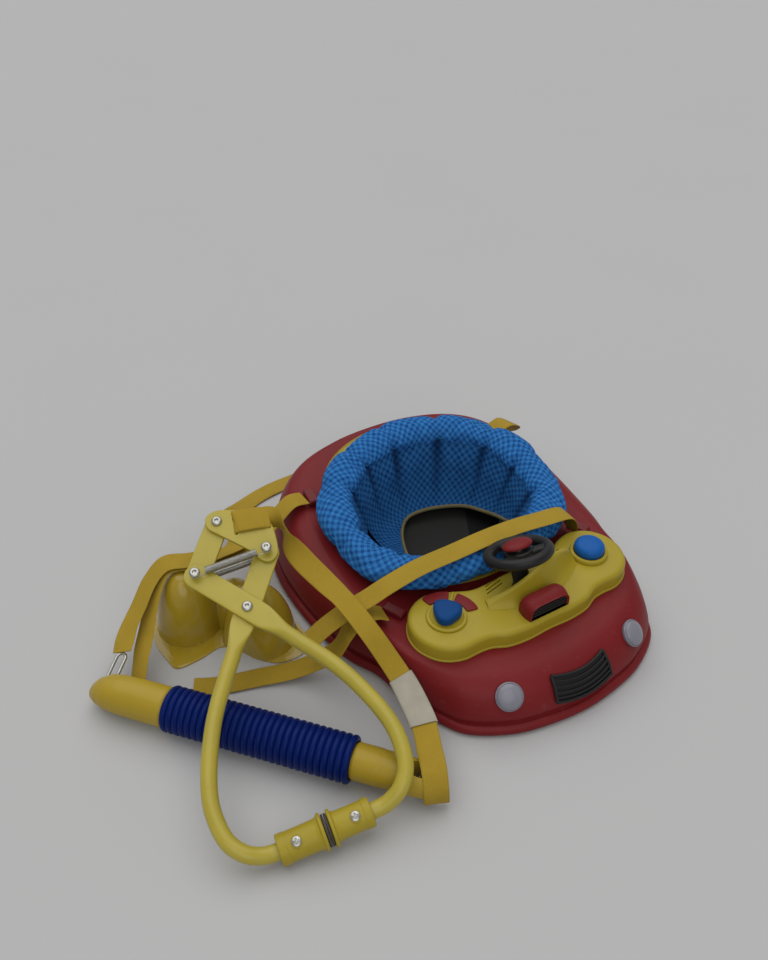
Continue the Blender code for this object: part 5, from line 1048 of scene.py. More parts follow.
def gather_pull(count, wide):
    """How much each of evenly spaced points round the seat is drawn in by the gathers, from 0 to 1."""
    turn = np.arange(count) / count
    phase = (turn * bpy.context.scene.jumper_seat.gathers + GATHER_SWAY * np.sin(3 * FULL_TURN * turn)) % 1.0
    return np.exp(-(np.minimum(phase, 1 - phase) / wide) ** 2)


def collar_height(y):
    """Height of the collar roll's middle line."""
    seat = bpy.context.scene.jumper_seat
    tray = bpy.context.scene.jumper_tray
    return deck(y) + tray.hoop_thickness + 0.002 + seat.roll_z - 0.0005


def stuff(made, pins, pressure, frames, reach):
    """Swell a closed cloth from inside for some frames, and keep the move of each point under a reach.

    The cloth is cut a little large, so that it buckles between its pinned seams as stuffed fabric does.
    """
    scene = bpy.context.scene
    start = np.empty(len(made.data.vertices) * 3)
    made.data.vertices.foreach_get("co", start)
    group = made.vertex_groups.new(name="seams")
    for weight in np.unique(np.round(pins, 2)):
        chosen = np.flatnonzero(np.round(pins, 2) == weight)
        if weight > 0:
            group.add(chosen.tolist(), float(weight), "REPLACE")
    cloth = made.modifiers.new("stuffing", "CLOTH")
    rules = cloth.settings
    rules.quality = 5
    rules.mass = 0.2
    rules.tension_stiffness = 12.0
    rules.compression_stiffness = 12.0
    rules.bending_stiffness = 0.15
    rules.use_pressure = True
    rules.uniform_pressure_force = pressure
    rules.shrink_min = -0.07
    rules.vertex_group_mass = "seams"
    rules.effector_weights.gravity = 0.0
    cloth.point_cache.frame_start = 1
    cloth.point_cache.frame_end = frames
    for step in range(1, frames + 1):
        scene.frame_set(step)
    graph = bpy.context.evaluated_depsgraph_get()
    shaped = made.evaluated_get(graph).to_mesh()
    end = np.empty(len(start))
    shaped.vertices.foreach_get("co", end)
    made.evaluated_get(graph).to_mesh_clear()
    made.modifiers.remove(cloth)
    scene.frame_set(1)
    move = (end - start).reshape(-1, 3)
    far = np.linalg.norm(move, axis=1, keepdims=True)
    move = move * np.minimum(1.0, reach / np.maximum(far, TINY))
    made.data.vertices.foreach_set("co", (start.reshape(-1, 3) + move).ravel())
    made.vertex_groups.clear()
    made.data.update()


class JUMPER_OT_collar(Operator):
    """Make the padded collar round the seat: a stuffed roll drawn in at its gathers."""
    bl_idname = "jumper.collar"
    bl_label = "Padded collar"

    def execute(self, context):
        """Carry an oval section round the seat and let it swell.

        The oval is drawn in by a narrow bell at each gather, mostly on its inner and lower sides, and the roll
        wanders a little with two slow waves.
        """
        seat = context.scene.jumper_seat
        stations = 336
        angle = circle(stations)[:, None]
        around = circle(40)
        drawn = gather_pull(stations, 0.10)[:, None]
        where = 0.20 + 0.80 * np.clip(-np.cos(around) * 0.9 - np.sin(around) * 0.2 + 0.25, 0, 1)
        shift = 0.0007 * (np.sin(5 * angle + 1.0) + np.sin(9 * angle)) - GATHER_DIP * drawn * where
        room_x, room_z = 0.0025, 0.0020
        reach = (seat.roll_x - room_x + shift) * np.cos(around)
        lift = (seat.roll_z - room_z + shift) * np.sin(around)
        centre = seat_ring(stations, seat.collar_x, seat.collar_y)
        heading = directions(centre, closed=True)
        outward = combine(heading[:, 1], -heading[:, 0])
        points = lifted(centre[:, None] + reach[..., None] * outward[:, None],
                        collar_height(centre[:, 1])[:, None] + lift)
        made = make_object("seat_collar_cover", Shape().grid(points, ring=True, period=2 * seat.check),
                           finish("blue_check_fabric"), 180.0)
        pins = np.maximum(np.clip(drawn * where * 1.1, 0, 1), (np.sin(around) < -0.93) * 1.0)
        stuff(made, np.where(pins < 0.15, 0.0, pins).ravel(), pressure=3.2, frames=18, reach=seat.swell)
        smooth = made.modifiers.new("round", "SUBSURF")
        smooth.levels = 1
        smooth.render_levels = 1
        settle(made, "tray", ("seat_collar",))
        return {"FINISHED"}


def sling_round():
    """Surface length once round the sling, in whole pairs of checks so that the print meets itself."""
    pair = 2 * bpy.context.scene.jumper_seat.check
    return round(RIM_LENGTH / pair) * pair


def sling_rim():
    """Half sizes of the sling's rim inside the collar."""
    seat = bpy.context.scene.jumper_seat
    inset = seat.roll_x - 0.0045
    return seat.collar_x - inset, seat.collar_y - inset


def cup(x, y):
    """Height of the sling's inside: the sixth power of the share of the way out to the rim."""
    half_x, half_y = sling_rim()
    low = bpy.context.scene.jumper_seat.bottom
    power = seat_power(y)
    share = (np.abs(x / half_x) ** power + np.abs((y - SEAT_Y) / half_y) ** power) ** (1 / power)
    return low + (collar_height(y) - low) * np.clip(share, 0, 1) ** 6


class JUMPER_OT_sling(Operator):
    """Make the fabric sling with its creases, its two leg holes, a binding, and below a lining sheet with painted
    shade.
    """
    bl_idname = "jumper.sling"
    bl_label = "Seat sling"

    def execute(self, context):
        """Give the cup a cloth's thickness, crease it, and cut the leg holes.

        The wall is pushed inwards between the gathers, which leaves narrow creases from the rim down, and the push
        fades out at the rim and at the bottom; slow waves make the cloth slack.
        """
        seat = context.scene.jumper_seat
        cols = 288
        rim = seat_ring(cols, *sling_rim())
        angle = circle(cols)
        share = 1 - np.linspace(0, 0.98, 74)[:, None] ** 2.2
        x = share * rim[:, 0]
        y = SEAT_Y + share * (rim[:, 1] - SEAT_Y)
        z = cup(x, y)
        hang = np.clip((z - seat.bottom) / (SLING_TOP - seat.bottom), 0, 1)
        rim_fade = np.clip((1 - share) * 14, 0, 1)
        slack = 0.0016 * np.sin(17 * angle + 4 * hang) + 0.0012 * np.sin(29 * angle - 7 * hang)
        push = (CREASE_DEPTH * (1 - gather_pull(cols, 0.12)) + slack) * hang ** 1.5 * rim_fade
        inward = 1 - push / SLING_RADIUS
        floor_wave = 0.0009 * np.sin(70 * x + 2) * np.sin(60 * y) * (1 - hang)
        top = combine(x * inward, SEAT_Y + (y - SEAT_Y) * inward, z + floor_wave)
        normal = unit(np.cross(np.roll(top, -1, axis=1) - np.roll(top, 1, axis=1), np.gradient(top, axis=0)))
        under = top - seat.cloth * normal * np.sign(normal[-1, 0, 2])
        down = mean_run(top, 0)
        surface = np.meshgrid(np.linspace(0, 1, cols + 1) * sling_round(), [*down[::-1], *down, down[-1]])
        cloth = Shape().grid(np.concatenate([top[::-1], under]), uv=np.stack(surface, axis=-1))
        turn = circle(96)
        left = LEFT_HOLE_MIDDLE + LEFT_HOLE_HALF * combine(np.cos(turn), np.sin(turn))
        right = resample(smooth_path(RIGHT_HOLE, 12, closed=True), 200, closed=True)
        holes = [Shape().slab(outline, straight_levels(-0.01, high))
                 for outline, high in ((right, RIGHT_HOLE_TOP), (left, LEFT_HOLE_TOP))]
        # The sling takes the darker check cloth: painted shade for the inside of the seat.
        made = add_piece("seat_sling_cloth", cloth, "blue_check_fabric", nodes=("seat_sling",), crease=60.0,
                         look="sling_cloth_in_painted_shade", cuts=holes)
        path = lifted(right, cup(right[:, 0], right[:, 1]) - seat.cloth * 0.3)
        add_piece("seat_binding_tape", Shape().tube(path, TAPE_RADIUS, 10, UP, closed=True, oval=1.3),
                  "tan_fabric", nodes=("seat_binding",))
        # The dark sheet below the seat: lining cloth on one side, and a near-black panel of painted shade on the
        # other.
        ring = resample(LINING_OUTLINE, 160, closed=True)
        middle = ring.mean(axis=0)
        plane = middle + np.linspace(1, 0.02, 24)[:, None, None] * (ring - middle)
        x, y = plane[..., 0], plane[..., 1]
        top = lifted(plane, LINING_HEIGHT + 0.0012 * np.sin(90 * x + 40 * y) * np.sin(70 * y))
        lining = Shape().grid(np.concatenate([top[::-1], top - (0, 0, LINING_THICKNESS)]))
        add_piece("seat_lining", lining, "black_plastic", look="lining")
        return {"FINISHED"}


class JUMPER_OT_dash(Operator):
    """Make the yellow dash panel with its speaker slots and screw hole, and the windscreen wall on it."""
    bl_idname = "jumper.dash"
    bl_label = "Dash and windscreen"

    def execute(self, context):
        """Stack the dash outline with a quarter-round edge, and cut five slanted slots and a screw hole."""
        dash = context.scene.jumper_dash
        outline = outline_of(DASH_OUTLINE_SHARES, dash.half_width, dash.depth, -dash.front)
        low = context.scene.jumper_tray.deck_front + CLEAR
        top = low + dash.height
        foot = 0.0012
        levels = [(low, -foot), (low + 0.0015, -foot), (low + 0.0022, 0.0)]
        levels += rounded_levels(low, top, dash.edge, 8)[1:]
        slots = Shape()
        through = straight_levels(top - 0.003, top + 0.004)
        pitch, slant, width = 0.0048, 0.0052, (0, 0.0016)
        for k in range(5):
            left = np.array((-0.040 + k * 0.002, 0.0035 + k * pitch))
            right = np.array((-0.016 + k * 0.001, left[1] + slant))
            slots.slab([left, right, right + width, left + width], through)
        slots.lathe([(0.0024, top - 0.006), (0.0024, top + 0.004)], 24, Place((0.070, 0.018, 0.0)))
        panel = Shape().slab(resample(outline, 320, closed=True), levels)
        add_piece("dash_top", panel, "yellow_plastic", nodes=("dash_panel",), crease=35.0, cuts=(slots,))
        add_piece("windscreen_wall", Shape().grid(self.windscreen(top + CLEAR)), "yellow_plastic",
                  nodes=("windscreen",), crease=50.0)
        return {"FINISHED"}

    def windscreen(self, foot):
        """Rows of the windscreen: an upright section carried along a bowed line from left to right.

        The height follows a power of a sine with a cube added at the right end. The section leans back, is thick
        in front and thins out over its rounded top, and both its feet spread as a falling exponential.
        """
        s = np.linspace(-1, 1, 81)[:, None]
        way = (1 + s) / 2
        height = 0.003 + 0.032 * np.sin(math.pi * way ** 1.4) ** 0.7 + 0.007 * way ** 3
        line_x = 0.011 + 0.060 * s
        line_y = -0.0025 + 0.0035 * s - 0.0210 * (1 - s ** 2)
        lean = -0.26
        up = np.linspace(0, 0.93, 12)
        rise = np.concatenate([up, [0.97, 0.995, 1.0, 0.995, 0.97], up[::-1]])
        thick = np.concatenate([np.full(12, 0.0044), [0.0040, 0.0030, 0.0019, 0.0008, 0.0001], np.zeros(12)])
        side = np.where(np.arange(len(rise)) < 14, 1.0, -0.35)
        skirt = 0.0062 * np.exp(-rise * height / 0.005)
        out = thick + skirt * side + lean * rise * height
        heading = unit(np.concatenate([0.35 * s, -np.ones_like(s)], axis=1))
        return combine(line_x + heading[:, :1] * out, line_y + heading[:, 1:] * out, foot + rise * height)


def dash_top():
    """Height of what stands on the dash."""
    return bpy.context.scene.jumper_tray.deck_front + bpy.context.scene.jumper_dash.height + 2 * CLEAR


WHEEL_TILT = math.radians(24)
WHEEL_PLACE = Place((0, 0.007, 0.120), rotation("X", -WHEEL_TILT))


class JUMPER_OT_wheel(Operator):
    """Make the steering column, the steering wheel and its horn cap."""
    bl_idname = "jumper.wheel"
    bl_label = "Steering wheel"

    def execute(self, context):
        """Loft the column, turn the rim and hub, and carry three tapered spokes between them."""
        dash = context.scene.jumper_dash
        top = dash_top()
        s = np.linspace(0, 1, 24)[:, None]
        angle = circle(40)
        foot_y = -0.009
        _, head_y, head_z = WHEEL_PLACE((0, 0, -0.005))
        y = foot_y + (head_y - foot_y) * s + 0.004 * np.sin(math.pi * s)
        z = top + (head_z - top) * s
        radius = 0.0092 + 0.0045 * np.exp(-s / 0.10) + 0.0030 * s ** 3
        tilt = WHEEL_TILT * s ** 0.5
        across = radius * np.sin(angle)
        points = combine(radius * np.cos(angle), y + across * np.cos(tilt), z - across * np.sin(tilt))
        add_piece("column", Shape().grid(points), "black_plastic", nodes=("steering_column",))

        rim = dash.wheel_radius
        t = circle(120)
        wheel = Shape().tube(combine(rim * np.cos(t), rim * np.sin(t), 0.0), dash.wheel_rim, 24, UP, WHEEL_PLACE,
                             closed=True)
        hub = [(0.0005, -0.0042), (0.0145, -0.0042), (0.0165, 0.0005), (0.0150, 0.0036), (0.0005, 0.0036)]
        wheel.lathe(fillet(hub, 0.0015), 48, WHEEL_PLACE)
        run = np.linspace(0.010, rim - 0.001, 14)
        share = (run - run[0]) / (run[-1] - run[0])
        path = combine(run, 0.0, 0.0006 * np.sin(math.pi * share) - 0.0018 * (1 - share) ** 2)
        width = 0.0065 + 0.0025 * np.linspace(-1, 1, 14) ** 2
        for k in range(3):
            place = WHEEL_PLACE.inner(turn=rotation("Z", math.radians(90) + k * FULL_TURN / 3))
            wheel.tube(path, width, 20, UP, place, oval=0.55)
        add_piece("wheel_rim", wheel, "black_plastic", body="wheel", nodes=("steering_wheel",))

        base = 0.007 + CLEAR
        profile = np.vstack([[(0.0040, base - 0.004), (0.0040, base), (0.0160, base), (0.0172, base + 0.0006)],
                             dome(0.0175, base + 0.0014, 0.0056, 12, power=0.75, gap=0.0002)])
        add_piece("horn_cap", Shape().lathe(profile, 64, WHEEL_PLACE, squash=0.0135 / 0.0175), "red_plastic",
                  body="horn", nodes=("horn_button",), crease=50.0)
        return {"FINISHED"}


class JUMPER_OT_controls(Operator):
    """Make the knob with its boss and gauge on the left, and the push button with its ring on the right."""
    bl_idname = "jumper.controls"
    bl_label = "Knob, gauge and button"

    def execute(self, context):
        """Turn the bosses and the button; the knob's radius swells with three lobes round its axis."""
        dash = context.scene.jumper_dash
        knob = Place((-dash.control_x, -0.002, dash_top()))
        ring = fillet([(0.0065, 0.0), (0.0222, 0.0), (0.0215, 0.0026), (0.0190, 0.0032), (0.0170, 0.0022),
                       (0.0065, 0.0022)], 0.0012)
        add_piece("knob_ring", Shape().lathe(ring, 72, knob, hollow=True), "yellow_plastic", nodes=("knob_boss",))
        side = dash.knob_radius
        profile = np.vstack([[(0.0059, 0.0006), (0.0059, 0.0030), (side * 0.90, 0.0032), (side * 0.985, 0.0045)],
                             dome(side, 0.0112, 0.0034, 14, power=0.8, flat=0.60), [(side * 0.30, 0.0146)]])
        radius, height = profile.T[:, :, None]
        angle = circle(96)
        radius = radius * np.where(height > 0.0031, 1 + 0.10 * np.cos(3 * angle + 0.9), 1.0)
        points = combine(radius * np.cos(angle), radius * np.sin(angle), height)
        # The knob's look is a darker copy of the control blue, painted shade.
        add_piece("knob", Shape().grid(knob(points)), "bright_blue_plastic", body="knob", nodes=("key_knob",),
                  look="knob")

        inner, outer = 0.0235, 0.0365
        for name, node, first, last in (("gauge_left", "gauge_segment_left", 52, 104),
                                        ("gauge_right", "gauge_segment_right", -12, 38)):
            soft = resample(np.vstack([arc(outer, first, last, 25), arc(inner, last, first, 25)]), 120, closed=True)
            for _ in range(12):
                soft = (np.roll(soft, 1, axis=0) + 2 * soft + np.roll(soft, -1, axis=0)) / 4
            segment = Shape().slab(soft, rounded_levels(0.0, 0.0017, 0.0007), knob)
            add_piece(name, segment, "red_plastic", nodes=(node,))
        out = np.full(2, math.sqrt(0.5))
        half = out[::-1] * (-0.0012, 0.0012)
        near, far = out * inner, out * outer
        bar = resample([near - half, far - half, far + half, near + half], 40, closed=True)
        add_piece("gauge_bar", Shape().slab(bar, rounded_levels(0.0, 0.0022, 0.0005), knob), "yellow_plastic",
                  nodes=("gauge_pointer",))

        button = Place((dash.control_x, -0.002, dash_top()))
        inner = dash.button_radius + 0.0005
        ring = fillet([(inner, 0.0), (inner + 0.0046, 0.0), (inner + 0.0036, 0.0042), (inner + 0.0012, 0.0052),
                       (inner, 0.0044)], 0.0010)
        add_piece("button_bezel", Shape().lathe(ring, 80, button, hollow=True), "yellow_plastic",
                  nodes=("button_ring",))
        radius = dash.button_radius
        profile = np.vstack([[(0.0070, 0.0070), (0.0070, 0.0043), (radius - 0.0004, 0.0043), (radius, 0.0047)],
                             dome(radius, 0.0092, 0.0071, 14, power=0.55, gap=0.0002)])
        add_piece("push_button", Shape().lathe(profile, 80, button), "bright_blue_plastic", body="button",
                  nodes=("round_button",), crease=50.0)
        return {"FINISHED"}


class JUMPER_OT_front(Operator):
    """Make the headlights, the grille on the nose and the air scoop with its intake."""
    bl_idname = "jumper.front"
    bl_label = "Lights, grille and scoop"

    def execute(self, context):
        """Set the headlights and the grille on the side wall's own frame, then the scoop on the dash."""
        radius = context.scene.jumper_tray.light_radius
        profile = np.vstack([[(radius * 0.9, -0.0055), (radius * 1.02, -0.0030), (radius * 1.04, -0.0005),
                              (radius * 0.985, 0.0006), (radius * 0.94, 0.0002)],
                             dome(radius * 0.93, 0.0003, 0.0050, 12, gap=0.0001)])
        for name, angle in (("headlight_right", math.radians(-72)), ("headlight_left", math.radians(252))):
            place = wall_frame(angle, LIGHT_SHARE, 0.0030)
            add_piece(name + "_lens", Shape().lathe(profile, 64, place), "pale_grey_plastic", nodes=(name,))
        self.add_grille()
        self.add_scoop()
        for name in ("anchor_front_right", "anchor_front_left", "anchor_rear_right", "anchor_rear_left"):
            dress(name, "anchor", 0.0008)
        return {"FINISHED"}

    def add_grille(self):
        """Lay a thin plate on the nose with six bars along it and one at each end; all rise as the place squared."""
        t = np.linspace(-1, 1, 61)
        turn = t * GRILLE_SPREAD - math.pi / 2
        bow = 0.06 * t ** 2
        level = np.linspace(*GRILLE_SHARES, 9) + bow[:, None]
        back, front = (wall_section(turn[:, None], level, out) for out in (0.0006, 0.0016))
        grille = Shape().grid(np.concatenate([back, front[:, ::-1]], axis=1))
        bars = [(turn, share + bow) for share in np.linspace(*GRILLE_SHARES, 6)]
        bars += [(turn[end], np.linspace(*GRILLE_SHARES, 20) + bow[end]) for end in (0, -1)]
        for k, (angle, share) in enumerate(bars):
            grille.tube(wall_section(angle, share, 0.0026), 0.0011 if 0 < k < 5 else 0.0017, 12, (0, 1.0, 0.2))
        add_piece("nose_grille", grille, "black_plastic", nodes=("grille",))

    def add_scoop(self):
        """Carry a squared arch backwards over the dash, hollow its front out, and set slats before the hollow."""
        foot = np.array((0, 0, dash_top()))
        s = np.linspace(0, 1, 26)[:, None]
        t = np.linspace(0, math.pi, 49)
        wide = SCOOP_HALF_WIDTH * (1 - 0.10 * (1 - np.sin(math.pi * (0.12 + 0.76 * s))))
        high = SCOOP_HEIGHT * (0.80 + 0.20 * np.sin(math.pi * (0.1 + 0.8 * s)))
        arch = foot + combine(wide * rounded(np.cos(t), SCOOP_POWER), SCOOP_FRONT + SCOOP_DEPTH * s,
                              high * rounded(np.sin(t), SCOOP_POWER))
        first, last = arch[0], arch[-1]
        lip = foot + (first - foot) * (0.90, 1, 0.90) - (0, 0.0006, 0)
        recess = lip + (0, 0.006, 0)
        end = foot + (last - foot) * (0.86, 1, 0.86) + (0, 0.0016, 0)
        rows = np.concatenate([[recess, lip, first - (0, 0.0012, 0)], arch, [end]])
        add_piece("air_scoop", Shape().grid(rows, flat=True), "red_plastic", nodes=("bonnet_scoop",), crease=45.0)
        intake = Shape()
        for k in range(4):
            half = 0.0232 - 0.0012 * max(0, k - 2)
            path = combine(np.linspace(-half, half, 12), SCOOP_FRONT + 0.001, foot[2] + 0.0034 + k * 0.0040)
            intake.tube(path, 0.0012, 12, UP)
        mesh = recess * (0.99, 1, 1) - (0, 0.0009, 0)
        intake.grid([mesh, mesh + (0, 0.0006, 0)], flat=True)
        add_piece("intake_slats", intake, "black_plastic", nodes=("scoop_intake",))


CLAMP_PLACE = Place((-0.280, 0.0904, 0.1101), rotation("Z", math.radians(-6.35)) @ rotation("X", math.radians(22.8))
                    @ rotation("Y", math.radians(-8.0)))


def clamp_points(clamp):
    """Pivots of the linkage in the clamp's own plane: far end of arm a, top, and far end of arm b."""
    return (np.array((-clamp.link_half, clamp.link_rise)), np.array((0.0, 2 * clamp.link_rise)),
            np.array((clamp.link_half, clamp.link_rise)))


class JUMPER_OT_arms(Operator):
    """Make the two clamp arms: a flat plate past the hinge that rounds into a bent tube."""
    bl_idname = "jumper.arms"
    bl_label = "Clamp arms"

    def execute(self, context):
        """Carry a superellipse along each arm.

        Its power falls from 6, a flat plate with square edges, to 2, a round tube, over the stretch past the
        hinge; at the plate's free end the half width follows a half circle. The points of the section start half
        a step round, so that none lies on a flat's middle line.
        """
        clamp = context.scene.jumper_clamp
        far_a, _, far_b = clamp_points(clamp)
        for name, node, side, body, far in (("arm_left", "arm_a", 1, "tray", far_a),
                                            ("arm_right", "arm_b", -1, "clamp_arm", far_b)):
            hinge = np.array((0.0, 0.0, side * (clamp.plate / 2 + CLEAR)))
            pivot = hinge + (*far, 0.0)
            back = unit(pivot - hinge)
            half = clamp.plate_half
            before, past = (hinge - back * half * reach for reach in (0.2, 1.15))
            bend = np.array(ARM_SHARES) * (side * clamp.spread, clamp.reach, clamp.bow)
            curve = smooth_path(np.vstack([before, past, bend]), 14)[14:]
            t = np.linspace(0.985, 0.0, 16)
            tip = pivot + back * half * t[:, None]
            straight = pivot + (past - pivot) * np.linspace(0.02, 0.99, 26)[:, None]
            path = np.vstack([tip, straight, curve])
            gone = run_length(path)
            share = smooth_step((gone - gone[len(tip) + len(straight)]) / TUBE_BLEND)
            wide = half * (1 - share) + clamp.tube * share
            wide[:len(tip)] = half * np.sqrt(1 - t ** 2)
            thick = clamp.plate / 2 * (1 - share) + clamp.tube * share
            power = 2 / (6 - 4 * share)[:, None]
            along = directions(path)
            across = unit(np.cross(UP, along))
            lift = np.cross(along, across)
            theta = circle(48, FULL_TURN / 96)
            u = (wide[:, None] * rounded(np.cos(theta), power))[..., None]
            v = (thick[:, None] * rounded(np.sin(theta), power))[..., None]
            points = path[:, None] + u * across[:, None] + v * lift[:, None]
            add_piece(name, Shape().grid(CLAMP_PLACE(points)), "yellow_paint", body=body, nodes=(node,), crease=30.0)
        return {"FINISHED"}


class JUMPER_OT_plates(Operator):
    """Make the link and the hanger plate, the webbing loop through its slot, and the rivets."""
    bl_idname = "jumper.plates"
    bl_label = "Plates and rivets"

    def execute(self, context):
        """Stack the plates' outlines with a small bevel, cut the slot, and turn domed rivets with a dimple.

        The link's outline is two half circles joined by straight sides, and the hanger's a smooth closed curve.
        """
        clamp = context.scene.jumper_clamp
        web = context.scene.jumper_webbing
        far_a, top, far_b = clamp_points(clamp)
        half = clamp.plate_half
        bevel = 0.0006
        span = float(np.linalg.norm(top - far_a))
        heading = (top - far_a) / span
        aside = np.array((-heading[1], heading[0]))
        ends = np.vstack([arc(half, 90, 270, 28), arc(half, 270, 450, 28, (span, 0))])
        outline = far_a + ends[:, :1] * heading + ends[:, 1:] * aside
        link = Shape().slab(outline, bevelled_levels(-clamp.plate - CLEAR, -CLEAR, bevel), CLAMP_PLACE)
        add_piece("link_plate", link, "yellow_paint", body="link", nodes=("link_a",), crease=30.0)

        low, high = CLEAR, CLEAR + clamp.plate
        corners = np.array(HANGER_OUTLINE_SHARES) * (clamp.link_half, clamp.link_rise)
        outline = resample(smooth_path(corners, 10, closed=True), 220, closed=True)
        middle = SLOT_MIDDLE_SHARES * np.array((clamp.link_half, clamp.link_rise))
        along = np.array((math.cos(SLOT_TURN), math.sin(SLOT_TURN)))
        across = np.array((-along[1], along[0]))
        long, wide = along * 0.0140, across * 0.0017
        slot = [middle - long - wide, middle + long - wide, middle + long + wide, middle - long + wide]
        add_piece("hanger", Shape().slab(outline, bevelled_levels(low, high, bevel), CLAMP_PLACE), "yellow_paint",
                  body="hanger", nodes=("hanger_plate",), crease=30.0,
                  cuts=(Shape().slab(slot, straight_levels(low - 0.004, low + 0.009), CLAMP_PLACE),))

        low_z, high_z = low - web.thickness * 0.9, high + web.thickness * 0.9
        reach = 0.0370
        track = fillet([(reach / 2, low_z), (0.0, low_z), (0.0, high_z), (reach, high_z), (reach, low_z),
                        (reach / 2 + 1e-5, low_z)], 0.0018, 7)[:-1]
        path = lifted(middle + across * track[:, :1], track[:, 1])
        width = np.broadcast_to((*along, 0.0), path.shape)
        rows, uv = band_rows(path, width, web.width / 2, web.thickness / 2, closed=True)
        add_piece("hanger_webbing_loop", Shape().grid(CLAMP_PLACE(rows), ring=True, uv=uv), "yellow_webbing",
                  body="hanger", nodes=("hanger_loop",), crease=70.0)

        plates = clamp.plate + 3 * CLEAR
        head, tall = 0.0056, 0.0023
        for name, place, reach, body in (
                ("rivet_hinge", (0, 0), plates, "tray"), ("rivet_link", far_a, clamp.post, "tray"),
                ("rivet_hanger", far_b, clamp.post, "clamp_arm"), ("rivet_top", top, plates, "hanger")):
            cap = np.vstack([[(0.0030, reach - 0.0002), (head, reach), (head, reach + 0.0003)],
                             dome(head, reach + 0.0003, tall, 8, flat=0.50),
                             [(0.0021, reach + tall), (0.0015, reach + 0.0009), (0.0004, reach + 0.0007)]])
            profile = np.vstack([cap[::-1] * (1, -1), cap])
            add_piece(name + "_head", Shape().lathe(profile, 40, CLAMP_PLACE.inner((*place, 0.0))), "zinc_steel",
                      body=body, nodes=(name,))
        return {"FINISHED"}


class JUMPER_OT_springs(Operator):
    """Make the two tension springs of the clamp, close coiled with a hook at each end."""
    bl_idname = "jumper.springs"
    bl_label = "Clamp springs"

    def execute(self, context):
        """Wind a helix between two hooks: its angle grows evenly while its middle moves from post to post."""
        clamp = context.scene.jumper_clamp
        far_a, _, far_b = clamp_points(clamp)
        half, radius, hook = 0.0275, 0.0036, 0.0044
        turns = clamp.curls
        t = np.linspace(0, turns, turns * 14 + 1)
        wave = FULL_TURN * t - math.pi / 2
        for name, side in (("spring_upper", 1), ("spring_lower", -1)):
            level = side * (clamp.plate + CLEAR + clamp.post) / 2
            coil = combine(-half + 2 * half * t / turns, clamp.link_rise + radius * np.sin(wave),
                           level + radius * np.cos(wave))
            path = np.vstack([lifted(arc(hook, 50, 300, 20, far_a), level), coil,
                              lifted(arc(hook, 240, 490, 20, far_b), level)])
            ends = [CLAMP_PLACE((*p, level)) for p in (far_a + (hook, 0), far_b - (hook, 0))]
            add_piece(name, Shape().tube(path, clamp.wire, 8, (0.6, 0.05, 0.8), CLAMP_PLACE), "zinc_steel",
                      body=("tray", "clamp_arm", *ends), nodes=("clamp_" + name,), crease=180.0)
        return {"FINISHED"}


def screw_head(place, radius=0.0046, height=0.0020, lobe=0.62):
    """Domed screw head with a cross recess.

    The height is a cosine dome over the radius, less a pocket where a point is within the bar of the cross and
    inside the recess's reach.
    """
    ring = np.linspace(1.0, 0.02, 22)[:, None]
    angle = circle(64)
    x, y = ring * np.cos(angle), ring * np.sin(angle)
    bar = np.minimum(np.abs(x), np.abs(y))
    inside = np.clip((0.16 - bar) / 0.05, 0, 1) * np.clip((lobe - ring) / 0.08, 0, 1)
    z = height * (0.45 + 0.55 * np.cos(ring * math.pi / 2) ** 0.6) - inside * height * 0.75
    skirt = combine(radius * np.cos(angle), radius * np.sin(angle), 0.0)
    return Shape().grid(place(np.concatenate([skirt[None], combine(x * radius, y * radius, z)])))


def pin(radius, half):
    """Pin along Z with rounded edges."""
    return fillet([(0.0004, -half), (radius, -half), (radius, half), (0.0004, half)], 0.0004)


class JUMPER_OT_feet(Operator):
    """Make the sleeves, rubber pads and screws at the ends of the clamp arms."""
    bl_idname = "jumper.feet"
    bl_label = "Clamp feet"

    def execute(self, context):
        """Turn each sleeve round the arm's end, with its flange against the pad and a boss for the screw."""
        clamp = context.scene.jumper_clamp
        seat = (0.0, -clamp.reach, ARM_SHARES[-1][2] * clamp.bow)
        start = 0.0024 + 2 * CLEAR
        inside, bore, hole = start + 0.007, clamp.tube + 0.0005, 0.006
        pad = fillet([(0.0005, CLEAR), (0.0150, CLEAR), (0.0153, 0.0014), (0.0146, 0.0026), (0.0005, 0.0026)], 0.0005)
        knob = fillet([(0.0005, -0.001), (0.0062, -0.001), (0.0060, 0.0023), (0.0005, 0.0024)], 0.0006)
        for key, side, radius, long, body in (("a", 1, 0.0135, 0.040, "tray"), ("b", -1, 0.0143, 0.044, "clamp_arm")):
            foot = CLAMP_PLACE.inner(seat, rotation("Y", side * math.radians(90)))
            end = start + long
            profile = fillet([(bore, inside), (hole, inside), (hole, start), (0.0174, start),
                              (0.0178, start + 0.0032), (radius + 0.0012, start + 0.0036), (radius, start + 0.0075),
                              (radius * 0.99, start + long * 0.80), (radius * 1.04, start + long * 0.83),
                              (radius * 1.03, end), (bore, end), (bore, inside)], 0.0012)[:-1]
            boss, place = (foot.inner((-side * (radius + out), 0, start + long * 0.6),
                                      rotation("Y", -side * math.radians(90))) for out in (-0.0022, 0.0003))
            sleeve = Shape().lathe(profile, 72, foot, hollow=True).lathe(knob, 32, boss)
            add_piece("foot_" + key, sleeve, "yellow_plastic", body=body, nodes=("foot_sleeve_" + key,), crease=35.0)
            add_piece("pad_" + key, Shape().lathe(pad, 56, foot), "grey_rubber", body=body,
                      nodes=("rubber_pad_" + key,))
            add_piece("foot_screw_" + key, screw_head(place), "zinc_steel", body=body, nodes=("screw_" + key,))
        return {"FINISHED"}


